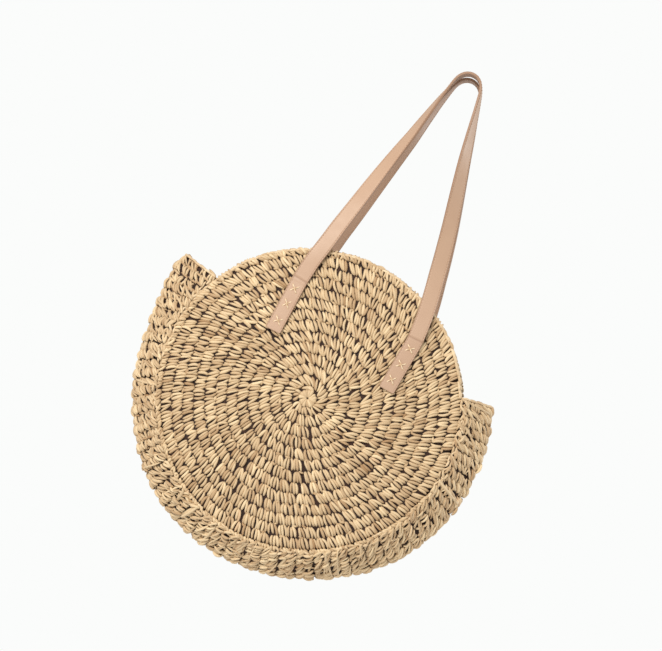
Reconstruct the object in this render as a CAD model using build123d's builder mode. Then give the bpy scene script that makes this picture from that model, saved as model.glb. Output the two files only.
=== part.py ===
from build123d import *

import math
import os

# A round crocheted beach bag that hangs by two leather shoulder straps. All sizes are in millimetres.
#
# Two dished crochet discs, front and back, are joined round their lower edge by a crocheted gusset, which
# folds outwards into a V. Each end of the gusset stands clear of the discs as an ear, and the mouth runs
# from ear to ear over the top. The origin is the point where both straps hang on a hook, +Z is up, +X is
# the wearer's right when facing the bag, and the front faces -Y.

# Crochet discs
disc_drop = 440.0  # disc centres below the hanging point
disc_radius = 182.0
disc_bulge = 12.0  # how far a disc is dished outwards at its centre
wall = 7.0  # thickness of the crochet
half_depth = 27.0  # from the bag's middle plane to the middle of a disc's wall at its edge

# Gusset and the two seams that join it to the discs
seam_outer_radius = 187.0
seam_ridge = 2.6  # how far the joining ridge stands out
gusset_lean = 48.5  # angle between a gusset wall and the bag's depth
fold_outer_round = 9.0
fold_inner_round = 2.0
ear_notch_angle = 26.5  # where an ear's end meets the discs, above the horizontal
ear_tilt = 12.0  # slope of an ear's end
ear_edging_width = 4.0
ear_edging_wall = 8.2
ear_blank_angle = 40.0  # the gusset is turned past its ears to here, then cut back
ear_blank_height = 90.0  # tall enough to clear a blank above its ear
ear_reach = 40.0  # how far inwards of the notch that cut starts

# Lining, gathered clear of the stitching behind the straps
lining_gap = 2.8
lining_thickness = 0.8
lining_radius = 178.0
lining_hem = 6.0
gusset_lining_start = 178.2
gusset_lining_half_depth = 21.0
gusset_lining_gap = 0.5
gusset_lining_round = 3.0

# Slip pocket on the back lining
pocket_width = 150.0
pocket_height = 112.0
pocket_middle = 18.0  # its centre above the disc centres
pocket_binding_height = 9.0
pocket_binding_thickness = 1.8

# Magnetic snap in the mouth
snap_height = 158.0  # above the disc centres
snap_patch_radius = 15.0
snap_patch_thickness = 0.8
snap_radius = 9.0
snap_thickness = 2.8
snap_recess_radius = 3.4
snap_recess_depth = 2.0
snap_stud_radius = 3.0
snap_stud_length = 1.8
snap_washer_thickness = 0.7
snap_clearance = 0.05

# Straps: two plies of leather sewn back to back
strap_width = 20.0
ply = 1.5
tab_middle = 77.0  # a tab's centre line from the bag's middle
tab_bottom = 58.0  # above the disc centres
crease_height = 122.0  # the fold between tab and loop, above the disc centres
crease_half_gap = 0.7
strap_lift = 0.9  # a loop stands this far off the disc at its crease
hook_round = 12.0  # inside of a strap where it passes over the hook
strap_side_step = 11.0  # each strap's middle from the bag's middle plane, on the hook
arc_lean = 13.5  # how far from upright a limb enters the round over the hook
front_bow = 3.0
sway = 5.3  # both limbs lean this far towards +X, a quarter of the way up
twist_power = 2.2  # the quarter turn of each limb gathers towards the hook
limb_steps = 14
arc_steps = 5

# Cross stitches that fasten the tabs
thread_radius = 0.6
cross_half_span = 4.6
cross_heights = (73.0, 94.0, 115.0)  # above the disc centres
thread_corner = 0.7
thread_clearance = 0.05

disc_centre = Vector(0, 0, -disc_drop)
disc_axis = Axis((0, 0, -disc_drop), (0, 1, 0))
sphere_radius = (disc_radius**2 + disc_bulge**2) / (2 * disc_bulge)
lean = math.radians(gusset_lean)
sides = {"front": -1, "back": 1}
hands = {"left": -1, "right": 1}
strap_thickness = 2 * ply

os.makedirs("parts", exist_ok=True)


def save(piece, label):
    """Name a finished sub-part and write its STEP file."""
    piece.part.label = label
    export_step(piece.part, f"parts/{label}.step")


def radial_plane(angle):
    """Plane that holds the discs' axis: x is the bag's depth, y runs outwards at an angle above +X."""
    turn = math.radians(angle)
    return Plane(disc_centre, x_dir=(0, 1, 0), z_dir=(math.sin(turn), 0, -math.cos(turn)))


def dish(radius):
    """How far the dished surface stands out beyond its own edge, at a radius."""
    return math.sqrt(sphere_radius**2 - radius**2) - (sphere_radius - disc_bulge)


def dished_section(side, inner_radius, outer_radius, high, low):
    """Section between two dished curves that stand high and low mm out from the middle of a wall."""
    middle = (inner_radius + outer_radius) / 2
    with BuildSketch(radial_plane(90)) as section:
        with BuildLine():
            edges = []
            for rise in (high, low):
                depth = half_depth + rise
                radii = (inner_radius, middle, outer_radius)
                edges.append(ThreePointArc(*[(side * (depth + dish(radius)), radius) for radius in radii]))
            Line(edges[0] @ 0, edges[1] @ 0)
            Line(edges[0] @ 1, edges[1] @ 1)
        make_face()
    return section.sketch


def column_section(x, z, width, height):
    """Rectangle in the XZ plane, z above the disc centres, to be extruded along the bag's depth."""
    with BuildSketch(Plane.XZ) as section:
        with Locations((x, z - disc_drop)):
            Rectangle(width, height)
    return section.sketch


def surface_plane(side, x, z, rise):
    """Plane that lies on a dished surface, its normal pointing out of the bag, z above the disc centres."""
    radius = math.hypot(x, z)
    point = disc_centre + Vector(x, side * (half_depth + rise + dish(radius)), z)
    slope = sphere_radius - disc_bulge + dish(radius)
    return Plane(point, x_dir=(1, 0, 0), z_dir=(x, side * slope, z))


def folded_section(thickness, base_radius, outer_round, inner_round):
    """V-shaped wall section, opening towards the discs, cut off at a radius and rounded at its fold."""
    with BuildSketch(radial_plane(ear_blank_angle)) as section:
        with BuildLine():
            half = thickness / 2 / math.sin(lean)
            reach = math.tan(lean)
            high = half_depth + half + (seam_outer_radius - base_radius) / reach
            low = half_depth - half + (seam_outer_radius - base_radius) / reach
            Polyline(
                (-high, base_radius),
                (0, base_radius + high * reach),
                (high, base_radius),
                (low, base_radius),
                (0, base_radius + low * reach),
                (-low, base_radius),
                close=True,
            )
        make_face()
        folds = section.vertices().sort_by(Axis.Y)
        fillet(folds[-1], outer_round)
        folds = section.vertices().filter_by(lambda corner: abs(corner.X) < 1e-6)
        fillet(folds, inner_round)
    return section.sketch


def ear_strip(hand, low, high):
    """Strip across an ear in the XZ plane, between two lines along the ear's end, in mm above that end."""
    notch = math.radians(ear_notch_angle)
    tilt = math.radians(ear_tilt)
    start = seam_outer_radius * Vector(math.cos(notch), math.sin(notch)) - Vector(0, disc_drop)
    along = Vector(math.cos(tilt), math.sin(tilt))
    up = Vector(-math.sin(tilt), math.cos(tilt))
    corners = [start + along * reach + up * rise for reach, rise in
               ((-ear_reach, low), (2 * ear_reach, low), (2 * ear_reach, high), (-ear_reach, high))]
    with BuildSketch(Plane.XZ) as strip:
        with BuildLine():
            Polyline(*[(hand * corner.X, corner.Y) for corner in corners], close=True)
        make_face()
    return strip.sketch


# Crochet discs, and the turned edge round the mouth
rim_start = 180 - ear_notch_angle
mouth_arc = 180 - 2 * ear_notch_angle
for name, side in sides.items():
    with BuildPart() as disc:
        revolve(dished_section(side, 0, disc_radius, wall / 2, -wall / 2), axis=disc_axis)
    save(disc, f"{name}_panel")

    with BuildPart() as rim:
        with BuildSketch(radial_plane(rim_start)):
            with BuildLine():
                near = (side * (half_depth - wall / 2), disc_radius)
                far = (side * (half_depth + wall / 2), disc_radius)
                Line(near, far)
                ThreePointArc(far, (side * half_depth, disc_radius + wall / 2), near)
            make_face()
        revolve(axis=disc_axis, revolution_arc=mouth_arc)
    save(rim, f"{name}_rim_edging")

    with BuildPart() as seam:
        half = wall / 2 / math.sin(lean)
        with BuildSketch(radial_plane(ear_notch_angle)):
            with BuildLine():
                inside = Polyline(
                    (side * (half_depth + wall / 2), disc_radius),
                    (side * (half_depth - wall / 2), disc_radius),
                    (side * (half_depth - half), seam_outer_radius),
                    (side * (half_depth + half), seam_outer_radius),
                )
                crest = (disc_radius + seam_outer_radius) / 2
                ridge = half_depth + wall / 2 + seam_ridge
                ThreePointArc(inside @ 1, (side * ridge, crest), inside @ 0)
            make_face()
        revolve(axis=disc_axis, revolution_arc=360 - mouth_arc)
    save(seam, f"{name}_seam")

# Gusset, and the worked edge along each of its two ends
with BuildPart() as gusset:
    section = folded_section(wall, seam_outer_radius, fold_outer_round, fold_inner_round)
    revolve(section, axis=disc_axis, revolution_arc=180 + 2 * ear_blank_angle)
    for hand in hands.values():
        strip = ear_strip(hand, -ear_edging_width, ear_blank_height)
        extrude(strip, amount=2 * half_depth, both=True, mode=Mode.SUBTRACT)
save(gusset, "gusset")

for name, hand in hands.items():
    with BuildPart() as ear_edging:
        section = folded_section(ear_edging_wall, seam_outer_radius, fold_outer_round, fold_inner_round)
        revolve(section, axis=disc_axis, revolution_arc=180 + 2 * ear_blank_angle)
        strip = ear_strip(hand, -ear_edging_width, 0)
        extrude(strip, amount=2 * half_depth, both=True, mode=Mode.INTERSECT)
    save(ear_edging, f"{name}_ear_edging")

# Lining of each disc, with a turned hem that is slip-stitched to the crochet
lining_high = -wall / 2 - lining_gap
lining_low = lining_high - lining_thickness
for name, side in sides.items():
    with BuildPart() as lining:
        revolve(dished_section(side, 0, lining_radius, lining_high, lining_low), axis=disc_axis)
        revolve(dished_section(side, lining_radius - lining_hem, lining_radius, -wall / 2, lining_low), axis=disc_axis)
    save(lining, f"{name}_lining")

# Lining of the gusset: straight past the seams, then down into the fold
with BuildPart() as gusset_lining:
    with BuildSketch(radial_plane(ear_blank_angle)) as section:
        with BuildLine():
            outline = []
            skins = (gusset_lining_gap, gusset_lining_gap + lining_thickness)
            for offset, flank in zip(skins, (gusset_lining_half_depth, gusset_lining_half_depth - lining_thickness)):
                at_seam = half_depth - (wall / 2 + offset) / math.sin(lean)
                corner = seam_outer_radius + (at_seam - flank) * math.tan(lean)
                tip = seam_outer_radius + at_seam * math.tan(lean)
                run = [(-flank, gusset_lining_start), (-flank, corner), (0, tip)]
                run += [(flank, corner), (flank, gusset_lining_start)]
                outline.append(run)
            Polyline(*outline[0], *reversed(outline[1]), close=True)
        make_face()
        fillet(section.vertices().filter_by(lambda corner: abs(corner.X) < 1e-6), gusset_lining_round)
    revolve(axis=disc_axis, revolution_arc=180 + 2 * ear_blank_angle)
    for hand in hands.values():
        strip = ear_strip(hand, -ear_edging_width, ear_blank_height)
        extrude(strip, amount=2 * half_depth, both=True, mode=Mode.SUBTRACT)
save(gusset_lining, "gusset_lining")

# Slip pocket, sewn to the back lining, with a bound top edge
pocket_low = lining_low - lining_thickness
pocket_body_height = pocket_height - pocket_binding_height
with BuildPart() as pocket:
    revolve(dished_section(sides["back"], 0, lining_radius, lining_low, pocket_low), axis=disc_axis)
    column = column_section(0, pocket_middle - pocket_binding_height / 2, pocket_width, pocket_body_height)
    extrude(column, amount=disc_radius, both=True, mode=Mode.INTERSECT)
save(pocket, "slip_pocket")

with BuildPart() as pocket_binding:
    binding_low = lining_low - pocket_binding_thickness
    revolve(dished_section(sides["back"], 0, lining_radius, lining_low, binding_low), axis=disc_axis)
    binding_middle = pocket_middle + pocket_height / 2 - pocket_binding_height / 2
    column = column_section(0, binding_middle, pocket_width, pocket_binding_height)
    extrude(column, amount=disc_radius, both=True, mode=Mode.INTERSECT)
save(pocket_binding, "pocket_binding")

# Magnetic snap: patch, face and washer on each lining, the socket in front and the stud at the back
for name, side in sides.items():
    with BuildPart() as patch:
        revolve(dished_section(side, 0, lining_radius, lining_low, lining_low - snap_patch_thickness), axis=disc_axis)
        with BuildSketch(Plane.XZ):
            with Locations((0, snap_height - disc_drop)):
                Circle(snap_patch_radius)
        extrude(amount=disc_radius, both=True, mode=Mode.INTERSECT)
    save(patch, f"{name}_snap_patch")

    with BuildPart() as washer:
        with BuildSketch(surface_plane(side, 0, snap_height, lining_high + snap_clearance)):
            Circle(snap_radius)
        extrude(amount=snap_washer_thickness)
    save(washer, f"{name}_snap_washer")

snap_rise = lining_low - snap_patch_thickness - snap_clearance
with BuildPart() as socket:
    with BuildSketch(surface_plane(sides["front"], 0, snap_height, snap_rise)):
        Circle(snap_radius)
    extrude(amount=-snap_thickness)
    with BuildSketch(surface_plane(sides["front"], 0, snap_height, snap_rise - snap_thickness)):
        Circle(snap_recess_radius)
    extrude(amount=snap_recess_depth, mode=Mode.SUBTRACT)
    mouth_edges = socket.faces().sort_by(Axis.Y)[-1].outer_wire().edges()
    chamfer(mouth_edges, 0.6)
save(socket, "snap_socket")

with BuildPart() as stud:
    with BuildSketch(surface_plane(sides["back"], 0, snap_height, snap_rise)):
        Circle(snap_radius)
    extrude(amount=-snap_thickness)
    chamfer(stud.faces().sort_by(Axis.Y)[0].outer_wire().edges(), 0.6)
    with BuildSketch(surface_plane(sides["back"], 0, snap_height, snap_rise - snap_thickness)):
        Circle(snap_stud_radius)
    extrude(amount=-snap_stud_length)
save(stud, "snap_stud")

# Strap tabs, cut to lie on the discs, and the cross stitches through them
plies = {"backing": wall / 2, "face": wall / 2 + ply}
tab_top = crease_height - crease_half_gap
for side_name, side in sides.items():
    for hand_name, hand in hands.items():
        for ply_name, rise in plies.items():
            with BuildPart() as tab:
                revolve(dished_section(side, 0, disc_radius, rise + ply, rise), axis=disc_axis)
                tab_centre = (tab_bottom + tab_top) / 2
                column = column_section(hand * tab_middle, tab_centre, strap_width, tab_top - tab_bottom)
                extrude(column, amount=disc_radius, both=True, mode=Mode.INTERSECT)
            save(tab, f"{side_name}_{hand_name}_tab_{ply_name}")

        with BuildPart() as crosses:
            for height in cross_heights:
                face = surface_plane(side, hand * tab_middle, height, wall / 2 + strap_thickness)
                for layer, slant in enumerate((1, -1)):
                    along = (face.x_dir + face.y_dir * slant).normalized()
                    upright = Plane(face.origin, x_dir=along, z_dir=along.cross(face.z_dir))
                    high = thread_clearance + thread_radius * (1 + 2 * layer)
                    low = -(strap_thickness + wall + high)
                    with BuildLine(upright) as loop:
                        FilletPolyline(
                            (-cross_half_span, high),
                            (cross_half_span, high),
                            (cross_half_span, low),
                            (-cross_half_span, low),
                            radius=thread_corner,
                            close=True,
                        )
                    with BuildSketch(Plane(loop.line @ 0.0, z_dir=loop.line % 0.0)):
                        Circle(thread_radius)
                    sweep(path=loop.line)
        save(crosses, f"{side_name}_{hand_name}_cross_stitches")


def limb_frames(side):
    """Centre, outward normal and direction of travel of a strap at each step, from right crease to hook."""
    turn_in = math.radians(arc_lean)
    middle_radius = hook_round + ply
    arc_foot = Vector(middle_radius * math.cos(turn_in), 0, middle_radius * math.sin(turn_in) - hook_round)
    crease = crease_height - disc_drop + crease_half_gap
    climb = arc_foot.Z - crease
    spread = tab_middle - arc_foot.X
    side_bow = (climb * math.tan(turn_in) - spread) / 4
    face_radius = math.hypot(tab_middle, crease_height)
    start_depth = half_depth + wall / 2 + dish(face_radius) + ply + strap_lift
    slide = start_depth - strap_side_step

    def point(share):
        """A limb's centre line as its share of the climb runs from 0 to 1: bowed sideways and forwards."""
        bow = 4 * share * (1 - share)
        depth = start_depth - slide * (share + share**2 - share**3) + front_bow * bow
        x = tab_middle - spread * share + side_bow * bow
        return Vector(x, side * depth, crease + climb * share)

    frames = []
    for step in range(limb_steps):
        share = step / limb_steps
        travel = (point(share + 0.001) - point(share - 0.001)).normalized() if step else Vector(0, 0, 1)
        twist = math.radians(90 * share**twist_power)
        normal = Vector(math.sin(twist), side * math.cos(twist), 0)
        frames.append((point(share), (normal - travel * normal.dot(travel)).normalized(), travel))
    for step in range(arc_steps + 1):
        turn = turn_in + (math.pi / 2 - turn_in) * step / arc_steps
        normal = Vector(math.cos(turn), 0, math.sin(turn))
        centre = Vector(0, side * strap_side_step, -hook_round) + normal * middle_radius
        frames.append((centre, normal, Vector(-math.sin(turn), 0, math.cos(turn))))
    return frames


def swayed(at):
    """A strap's centre moved towards +X: by nothing at the crease and the hook, by most a quarter of the way up."""
    crease = crease_height - disc_drop + crease_half_gap
    share = min((at.Z - crease) / (-hook_round - crease), 1)
    return at + Vector(sway * 256 / 27 * share * (1 - share) ** 3, 0, 0)


# Strap loops: both limbs twist a quarter turn, so that the strap lies flat over the hook
for side_name, side in sides.items():
    right = limb_frames(side)
    left = [
        (Vector(-at.X, at.Y, at.Z), Vector(-out.X, out.Y, out.Z), Vector(go.X, -go.Y, -go.Z))
        for at, out, go in reversed(right[:-1])
    ]
    for ply_name, shift in {"backing": -ply / 2, "face": ply / 2}.items():
        with BuildPart() as strap:
            for at, out, go in right + left:
                with BuildSketch(Plane(swayed(at) + out * shift, x_dir=out.cross(go), z_dir=go)):
                    Rectangle(strap_width, ply)
            loft(ruled=True)
        save(strap, f"{side_name}_strap_{ply_name}")
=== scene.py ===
"""Round crocheted beach bag with leather shoulder straps, dressed around its CAD frame.

Lengths are in metres, in the row frame: the origin is where the straps hang on their hook, +Z is up and the
front faces -Y. The crochet is laid stitch by stitch as closed straw strands over a ground plate coloured as painted
shade, so every stitch is geometry; the lining and the pocket are sheets, and each strap is one leather ribbon that
bends at its creases.
"""

from __future__ import annotations

import logging
import math
from dataclasses import dataclass, field
from enum import Enum
from typing import Any, Callable

import bmesh
import bpy
import numpy as np
from mathutils import Matrix, Vector

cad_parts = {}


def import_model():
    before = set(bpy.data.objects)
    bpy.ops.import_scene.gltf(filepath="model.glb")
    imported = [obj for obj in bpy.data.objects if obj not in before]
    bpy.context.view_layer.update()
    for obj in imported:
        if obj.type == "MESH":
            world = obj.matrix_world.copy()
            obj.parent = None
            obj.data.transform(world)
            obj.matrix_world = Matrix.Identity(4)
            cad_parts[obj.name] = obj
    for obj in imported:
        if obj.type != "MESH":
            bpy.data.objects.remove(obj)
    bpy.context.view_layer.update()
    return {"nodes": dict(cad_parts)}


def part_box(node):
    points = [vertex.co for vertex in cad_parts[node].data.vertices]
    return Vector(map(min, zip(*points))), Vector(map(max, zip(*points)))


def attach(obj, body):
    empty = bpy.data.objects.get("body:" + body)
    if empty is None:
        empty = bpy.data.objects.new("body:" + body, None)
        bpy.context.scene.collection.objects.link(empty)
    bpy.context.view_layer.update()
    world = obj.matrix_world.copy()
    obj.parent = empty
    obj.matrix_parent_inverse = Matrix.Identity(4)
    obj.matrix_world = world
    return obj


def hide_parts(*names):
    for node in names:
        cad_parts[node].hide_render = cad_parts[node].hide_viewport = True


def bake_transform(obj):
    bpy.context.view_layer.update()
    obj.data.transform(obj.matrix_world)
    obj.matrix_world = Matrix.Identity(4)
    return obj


LOG = logging.getLogger("beach_bag")
MM = 0.001
SEED = 20
CROCHET_WALL = 7.0 * MM
MOUTH_SAG = 3.4 * MM
Array = np.ndarray


class Side(Enum):
    """Which face of the bag a piece belongs to; the value is its sign along Y."""

    FRONT = -1
    BACK = 1

    @property
    def word(self) -> str:
        """The side's name as the CAD nodes spell it."""
        return self.name.lower()


class Hand(Enum):
    """Left or right of the bag as seen from the front; the value is its sign along X."""

    LEFT = -1
    RIGHT = 1

    @property
    def word(self) -> str:
        """The hand's name as the CAD nodes spell it."""
        return self.name.lower()


# ---------------------------------------------------------------- materials


def linear(colour: str) -> tuple[float, float, float, float]:
    """Turn an sRGB hex colour into linear red, green, blue and full alpha.

    Args:
        colour: six hex digits.

    Returns:
        The four linear components.
    """
    parts = np.array([int(colour[i : i + 2], 16) / 255 for i in (0, 2, 4)])
    low = parts / 12.92
    high = ((parts + 0.055) / 1.055) ** 2.4
    return (*np.where(parts <= 0.04045, low, high).tolist(), 1.0)


def add_node(
    tree: bpy.types.NodeTree,
    kind: str,
    inputs: dict[str | int, Any] | None = None,
    stops: list[tuple[float, str]] | None = None,
    **settings: Any,
) -> bpy.types.Node:
    """Add one node with its settings, its socket values or links, and a ramp's stops.

    Args:
        tree: the node tree to add to.
        kind: the node's Blender type name.
        inputs: input names or numbers, each with a value or an output socket to link.
        stops: positions and hex colours of a colour ramp.
        settings: the node's own fields.

    Returns:
        The new node.
    """
    node = tree.nodes.new(kind)
    for name, value in settings.items():
        setattr(node, name, value)
    for name, value in (inputs or {}).items():
        if isinstance(value, bpy.types.NodeSocket):
            tree.links.new(value, node.inputs[name])
        else:
            node.inputs[name].default_value = value
    if stops:
        ramp = node.color_ramp
        for position, _ in stops[2:]:
            ramp.elements.new(position)
        for element, (position, colour) in zip(ramp.elements, stops):
            element.position = position
            element.color = linear(colour)
    return node


def new_material(name: str) -> tuple[bpy.types.Material, bpy.types.NodeTree]:
    """Make a material with an empty node tree, and give both."""
    material = bpy.data.materials.new(name)
    material.use_nodes = True
    material.node_tree.nodes.clear()
    return material, material.node_tree


def close_surface(
    tree: bpy.types.NodeTree,
    inputs: dict[str, Any],
    height: bpy.types.NodeSocket | None = None,
    strength: float = 0.0,
    depth: float = 0.0,
) -> None:
    """Put the shader and the output over a finish's colour and relief.

    Args:
        tree: the finish's node tree.
        inputs: the shader's socket names, each with a value or an output socket to link.
        height: the socket that gives the relief, if there is one.
        strength: how strongly the relief shows.
        depth: how deep it is.
    """
    if height is not None:
        bump = add_node(tree, "ShaderNodeBump", {"Height": height, "Strength": strength, "Distance": depth})
        inputs = inputs | {"Normal": bump.outputs[0]}
    shader = add_node(tree, "ShaderNodeBsdfPrincipled", inputs)
    add_node(tree, "ShaderNodeOutputMaterial", {"Surface": shader.outputs[0]})


@dataclass(frozen=True)
class PaperStraw:
    """Twisted paper straw: kraft paper slit and rolled into a flat yarn, so each strand has fine creases along
    it, a dry satin face and a shade of its own."""

    name: str
    pale: str
    middle: str
    deep: str
    # Dark brown mixed into each strand's tucked ends: painted shade where the ends dive into the holes.
    painted_end_shade: str = "5A3A1E"
    creases: float = 26.0
    roughness: float = 0.62

    def material(self) -> bpy.types.Material:
        """Build the finish: shade by strand, painted shade at a strand's tucked ends, creased along its length."""
        material, tree = new_material(self.name)
        tone, tuck = (
            add_node(tree, "ShaderNodeAttribute", attribute_name=name).outputs["Fac"] for name in ("tone", "tuck")
        )
        uv = add_node(tree, "ShaderNodeUVMap", uv_map="UVMap").outputs[0]
        stops = [(0.0, self.deep), (1.0, self.pale), (0.45, self.middle)]
        shade = add_node(tree, "ShaderNodeValToRGB", {"Fac": tone}, stops).outputs[0]
        stretched = add_node(tree, "ShaderNodeMapping", {"Vector": uv, "Scale": (self.creases, 2.2, 1.0)})
        apart = add_node(tree, "ShaderNodeMath", {0: tone, 1: 97.0}, operation="MULTIPLY")
        offset = add_node(tree, "ShaderNodeCombineXYZ", {"Z": apart.outputs[0]})
        ends = {0: stretched.outputs[0], 1: offset.outputs[0]}
        place = add_node(tree, "ShaderNodeVectorMath", ends, operation="ADD").outputs[0]
        folds = {"Vector": place, "Scale": 1.0, "Detail": 3.0, "Roughness": 0.6}
        crease = add_node(tree, "ShaderNodeTexNoise", folds).outputs["Fac"]
        spread = {"Value": crease, "From Min": 0.35, "From Max": 0.75, "To Min": 0.0, "To Max": 0.38}
        streak = add_node(tree, "ShaderNodeMapRange", spread).outputs[0]
        # Painted shade: the tucked ends are mixed towards the dark brown, at most 0.55 of the way.
        painted_end_shade = add_node(tree, "ShaderNodeMath", {0: tuck, 1: 0.55}, operation="MULTIPLY").outputs[0]
        for share, other in ((streak, self.deep), (painted_end_shade, self.painted_end_shade)):
            mixed = {"Factor": share, 6: shade, 7: linear(other)}
            shade = add_node(tree, "ShaderNodeMix", mixed, data_type="RGBA").outputs[2]
        inputs = {"Roughness": self.roughness, "IOR": 1.45, "Sheen Weight": 0.12, "Sheen Roughness": 0.5}
        close_surface(tree, inputs | {"Base Color": shade}, crease, 0.5, 0.35 * MM)
        return material


@dataclass(frozen=True)
class PaintedShadeStraw:
    """Painted shade for the straw behind the stitches, where the light hardly reaches: the same paper, coloured dull
    and dark.
    """

    name: str = "sunken_straw"
    # The two browns of the painted shade, the lighter and the darker.
    lit: str = "3C2012"
    dark: str = "1E0E06"

    def material(self) -> bpy.types.Material:
        """Build the painted shade from coarse noise at the stitches' own spacing."""
        material, tree = new_material(self.name)
        place = add_node(tree, "ShaderNodeTexCoord").outputs["Object"]
        lumps = {"Vector": place, "Scale": 160.0, "Detail": 3.0}
        patch = add_node(tree, "ShaderNodeTexNoise", lumps).outputs["Fac"]
        shade = add_node(tree, "ShaderNodeValToRGB", {"Fac": patch}, [(0.35, self.dark), (0.75, self.lit)])
        close_surface(tree, {"Base Color": shade.outputs[0], "Roughness": 0.8}, patch, 0.8, 1.2 * MM)
        return material


@dataclass(frozen=True)
class StrapLeather:
    """Vegetable-tanned cowhide, split and drum-dyed tan: smooth, close grain on the face, a darker and browner
    backing, and burnished edges."""

    name: str = "tan_strap_leather"
    face: str = "BDA087"
    mottle: str = "B19178"
    # Colour of the backing: darker and browner than the face.
    backing: str = "A58872"
    edge: str = "9A7A62"
    pore_mm: float = 0.9  # real pores are a third of this and would not show

    def material(self) -> bpy.types.Material:
        """Build the finish: mottled tan, browner on the backing, darker at the cut edge and, as painted shade, along
        the creases, fine pores.
        """
        material, tree = new_material(self.name)
        uv = add_node(tree, "ShaderNodeUVMap", uv_map="UVMap").outputs[0]
        backing, edge = (
            add_node(tree, "ShaderNodeAttribute", attribute_name=name).outputs["Fac"] for name in ("backing", "edge")
        )
        cloud = add_node(tree, "ShaderNodeTexNoise", {"Vector": uv, "Scale": 28.0, "Detail": 4.0}).outputs["Fac"]
        pores = {"Vector": uv, "Scale": 1.0 / (self.pore_mm * MM)}
        grain = add_node(tree, "ShaderNodeTexVoronoi", pores).outputs["Distance"]
        fibres = {"Vector": uv, "Scale": 520.0, "Detail": 3.0, "Roughness": 0.7}
        fibre = add_node(tree, "ShaderNodeTexNoise", fibres).outputs["Fac"]
        shade = linear(self.face)
        # The edge mark also carries painted shade along the creases, on the outer face.
        for share, other in ((cloud, self.mottle), (backing, self.backing), (edge, self.edge)):
            mixed = {"Factor": share, 6: shade, 7: linear(other)}
            shade = add_node(tree, "ShaderNodeMix", mixed, data_type="RGBA").outputs[2]
        height = add_node(tree, "ShaderNodeMath", {0: grain, 1: fibre}, operation="ADD").outputs[0]
        spread = {"Value": cloud, "From Min": 0.3, "From Max": 0.7, "To Min": 0.42, "To Max": 0.55}
        rough = add_node(tree, "ShaderNodeMapRange", spread).outputs[0]
        close_surface(tree, {"Base Color": shade, "Roughness": rough}, height, 0.25, 0.18 * MM)
        return material


@dataclass(frozen=True)
class WaxedThread:
    """Waxed linen thread of two plies: a low shine and a slanting lay."""

    name: str
    colour: str
    dark: str
    turns: float = 9.0

    def material(self) -> bpy.types.Material:
        """Build the finish: the plies' lay as slanting bands along each stitch."""
        material, tree = new_material(self.name)
        uv = add_node(tree, "ShaderNodeUVMap", uv_map="UVMap").outputs[0]
        turned = add_node(tree, "ShaderNodeMapping", {"Vector": uv, "Scale": (1.0, self.turns, 1.0)})
        bands = {"Vector": turned.outputs[0], "Scale": 0.32, "Distortion": 0.4}
        lay = add_node(tree, "ShaderNodeTexWave", bands, bands_direction="DIAGONAL").outputs["Fac"]
        shade = add_node(tree, "ShaderNodeValToRGB", {"Fac": lay}, [(0.1, self.dark), (0.6, self.colour)])
        inputs = {"Base Color": shade.outputs[0], "Roughness": 0.5, "IOR": 1.45}
        close_surface(tree, inputs, lay, 0.6, 0.2 * MM)
        return material


@dataclass(frozen=True)
class CottonLining:
    """Plain-woven cotton sheeting, dyed brown: matt, with its threads just visible close to."""

    name: str
    colour: str
    dark: str
    thread_mm: float = 0.9  # real threads are about 0.4 mm apart and would not show

    def material(self) -> bpy.types.Material:
        """Build the finish: two crossed bands of threads on the sheet's own UV in metres."""
        material, tree = new_material(self.name)
        uv = add_node(tree, "ShaderNodeUVMap", uv_map="UVMap").outputs[0]
        bands = {"Vector": uv, "Scale": 0.314 / (self.thread_mm * MM), "Distortion": 0.6, "Detail": 1.0}
        warp, weft = (
            add_node(tree, "ShaderNodeTexWave", bands, bands_direction=axis).outputs["Fac"] for axis in ("X", "Y")
        )
        weave = add_node(tree, "ShaderNodeMath", {0: warp, 1: weft}, operation="MULTIPLY").outputs[0]
        cloud = add_node(tree, "ShaderNodeTexNoise", {"Vector": uv, "Scale": 30.0, "Detail": 4.0}).outputs["Fac"]
        share = add_node(tree, "ShaderNodeMath", {0: weave, 1: cloud}, operation="MULTIPLY").outputs[0]
        mixed = {"Factor": share, 6: linear(self.dark), 7: linear(self.colour)}
        shade = add_node(tree, "ShaderNodeMix", mixed, data_type="RGBA").outputs[2]
        inputs = {"Base Color": shade, "Roughness": 0.9, "Sheen Weight": 0.2}
        close_surface(tree, inputs, weave, 0.4, 0.2 * MM)
        return material


@dataclass(frozen=True)
class PressedMetal:
    """Pressed and plated sheet metal: rubbed bright in places, with fine scratches from use."""

    name: str
    colour: str
    worn: str
    roughness: float

    def material(self) -> bpy.types.Material:
        """Build the finish: plating that is worn in soft patches, with a fine scratched bump."""
        material, tree = new_material(self.name)
        place = add_node(tree, "ShaderNodeTexCoord").outputs["Object"]
        worn = {"Vector": place, "Scale": 220.0, "Detail": 4.0}
        patch = add_node(tree, "ShaderNodeTexNoise", worn).outputs["Fac"]
        drawn = add_node(tree, "ShaderNodeMapping", {"Vector": place, "Scale": (900.0, 900.0, 5000.0)})
        fine = {"Vector": drawn.outputs[0], "Scale": 1.0, "Detail": 2.0}
        scratch = add_node(tree, "ShaderNodeTexNoise", fine).outputs["Fac"]
        mixed = {"Factor": patch, 6: linear(self.colour), 7: linear(self.worn)}
        shade = add_node(tree, "ShaderNodeMix", mixed, data_type="RGBA").outputs[2]
        inputs = {"Base Color": shade, "Metallic": 1.0, "Roughness": self.roughness}
        close_surface(tree, inputs, scratch, 0.15, 0.05 * MM)
        return material


# ---------------------------------------------------------------- meshes


def unit(vectors: Array) -> Array:
    """Scale vectors along the last axis to length one."""
    return vectors / np.maximum(np.linalg.norm(vectors, axis=-1, keepdims=True), 1e-12)


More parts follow.
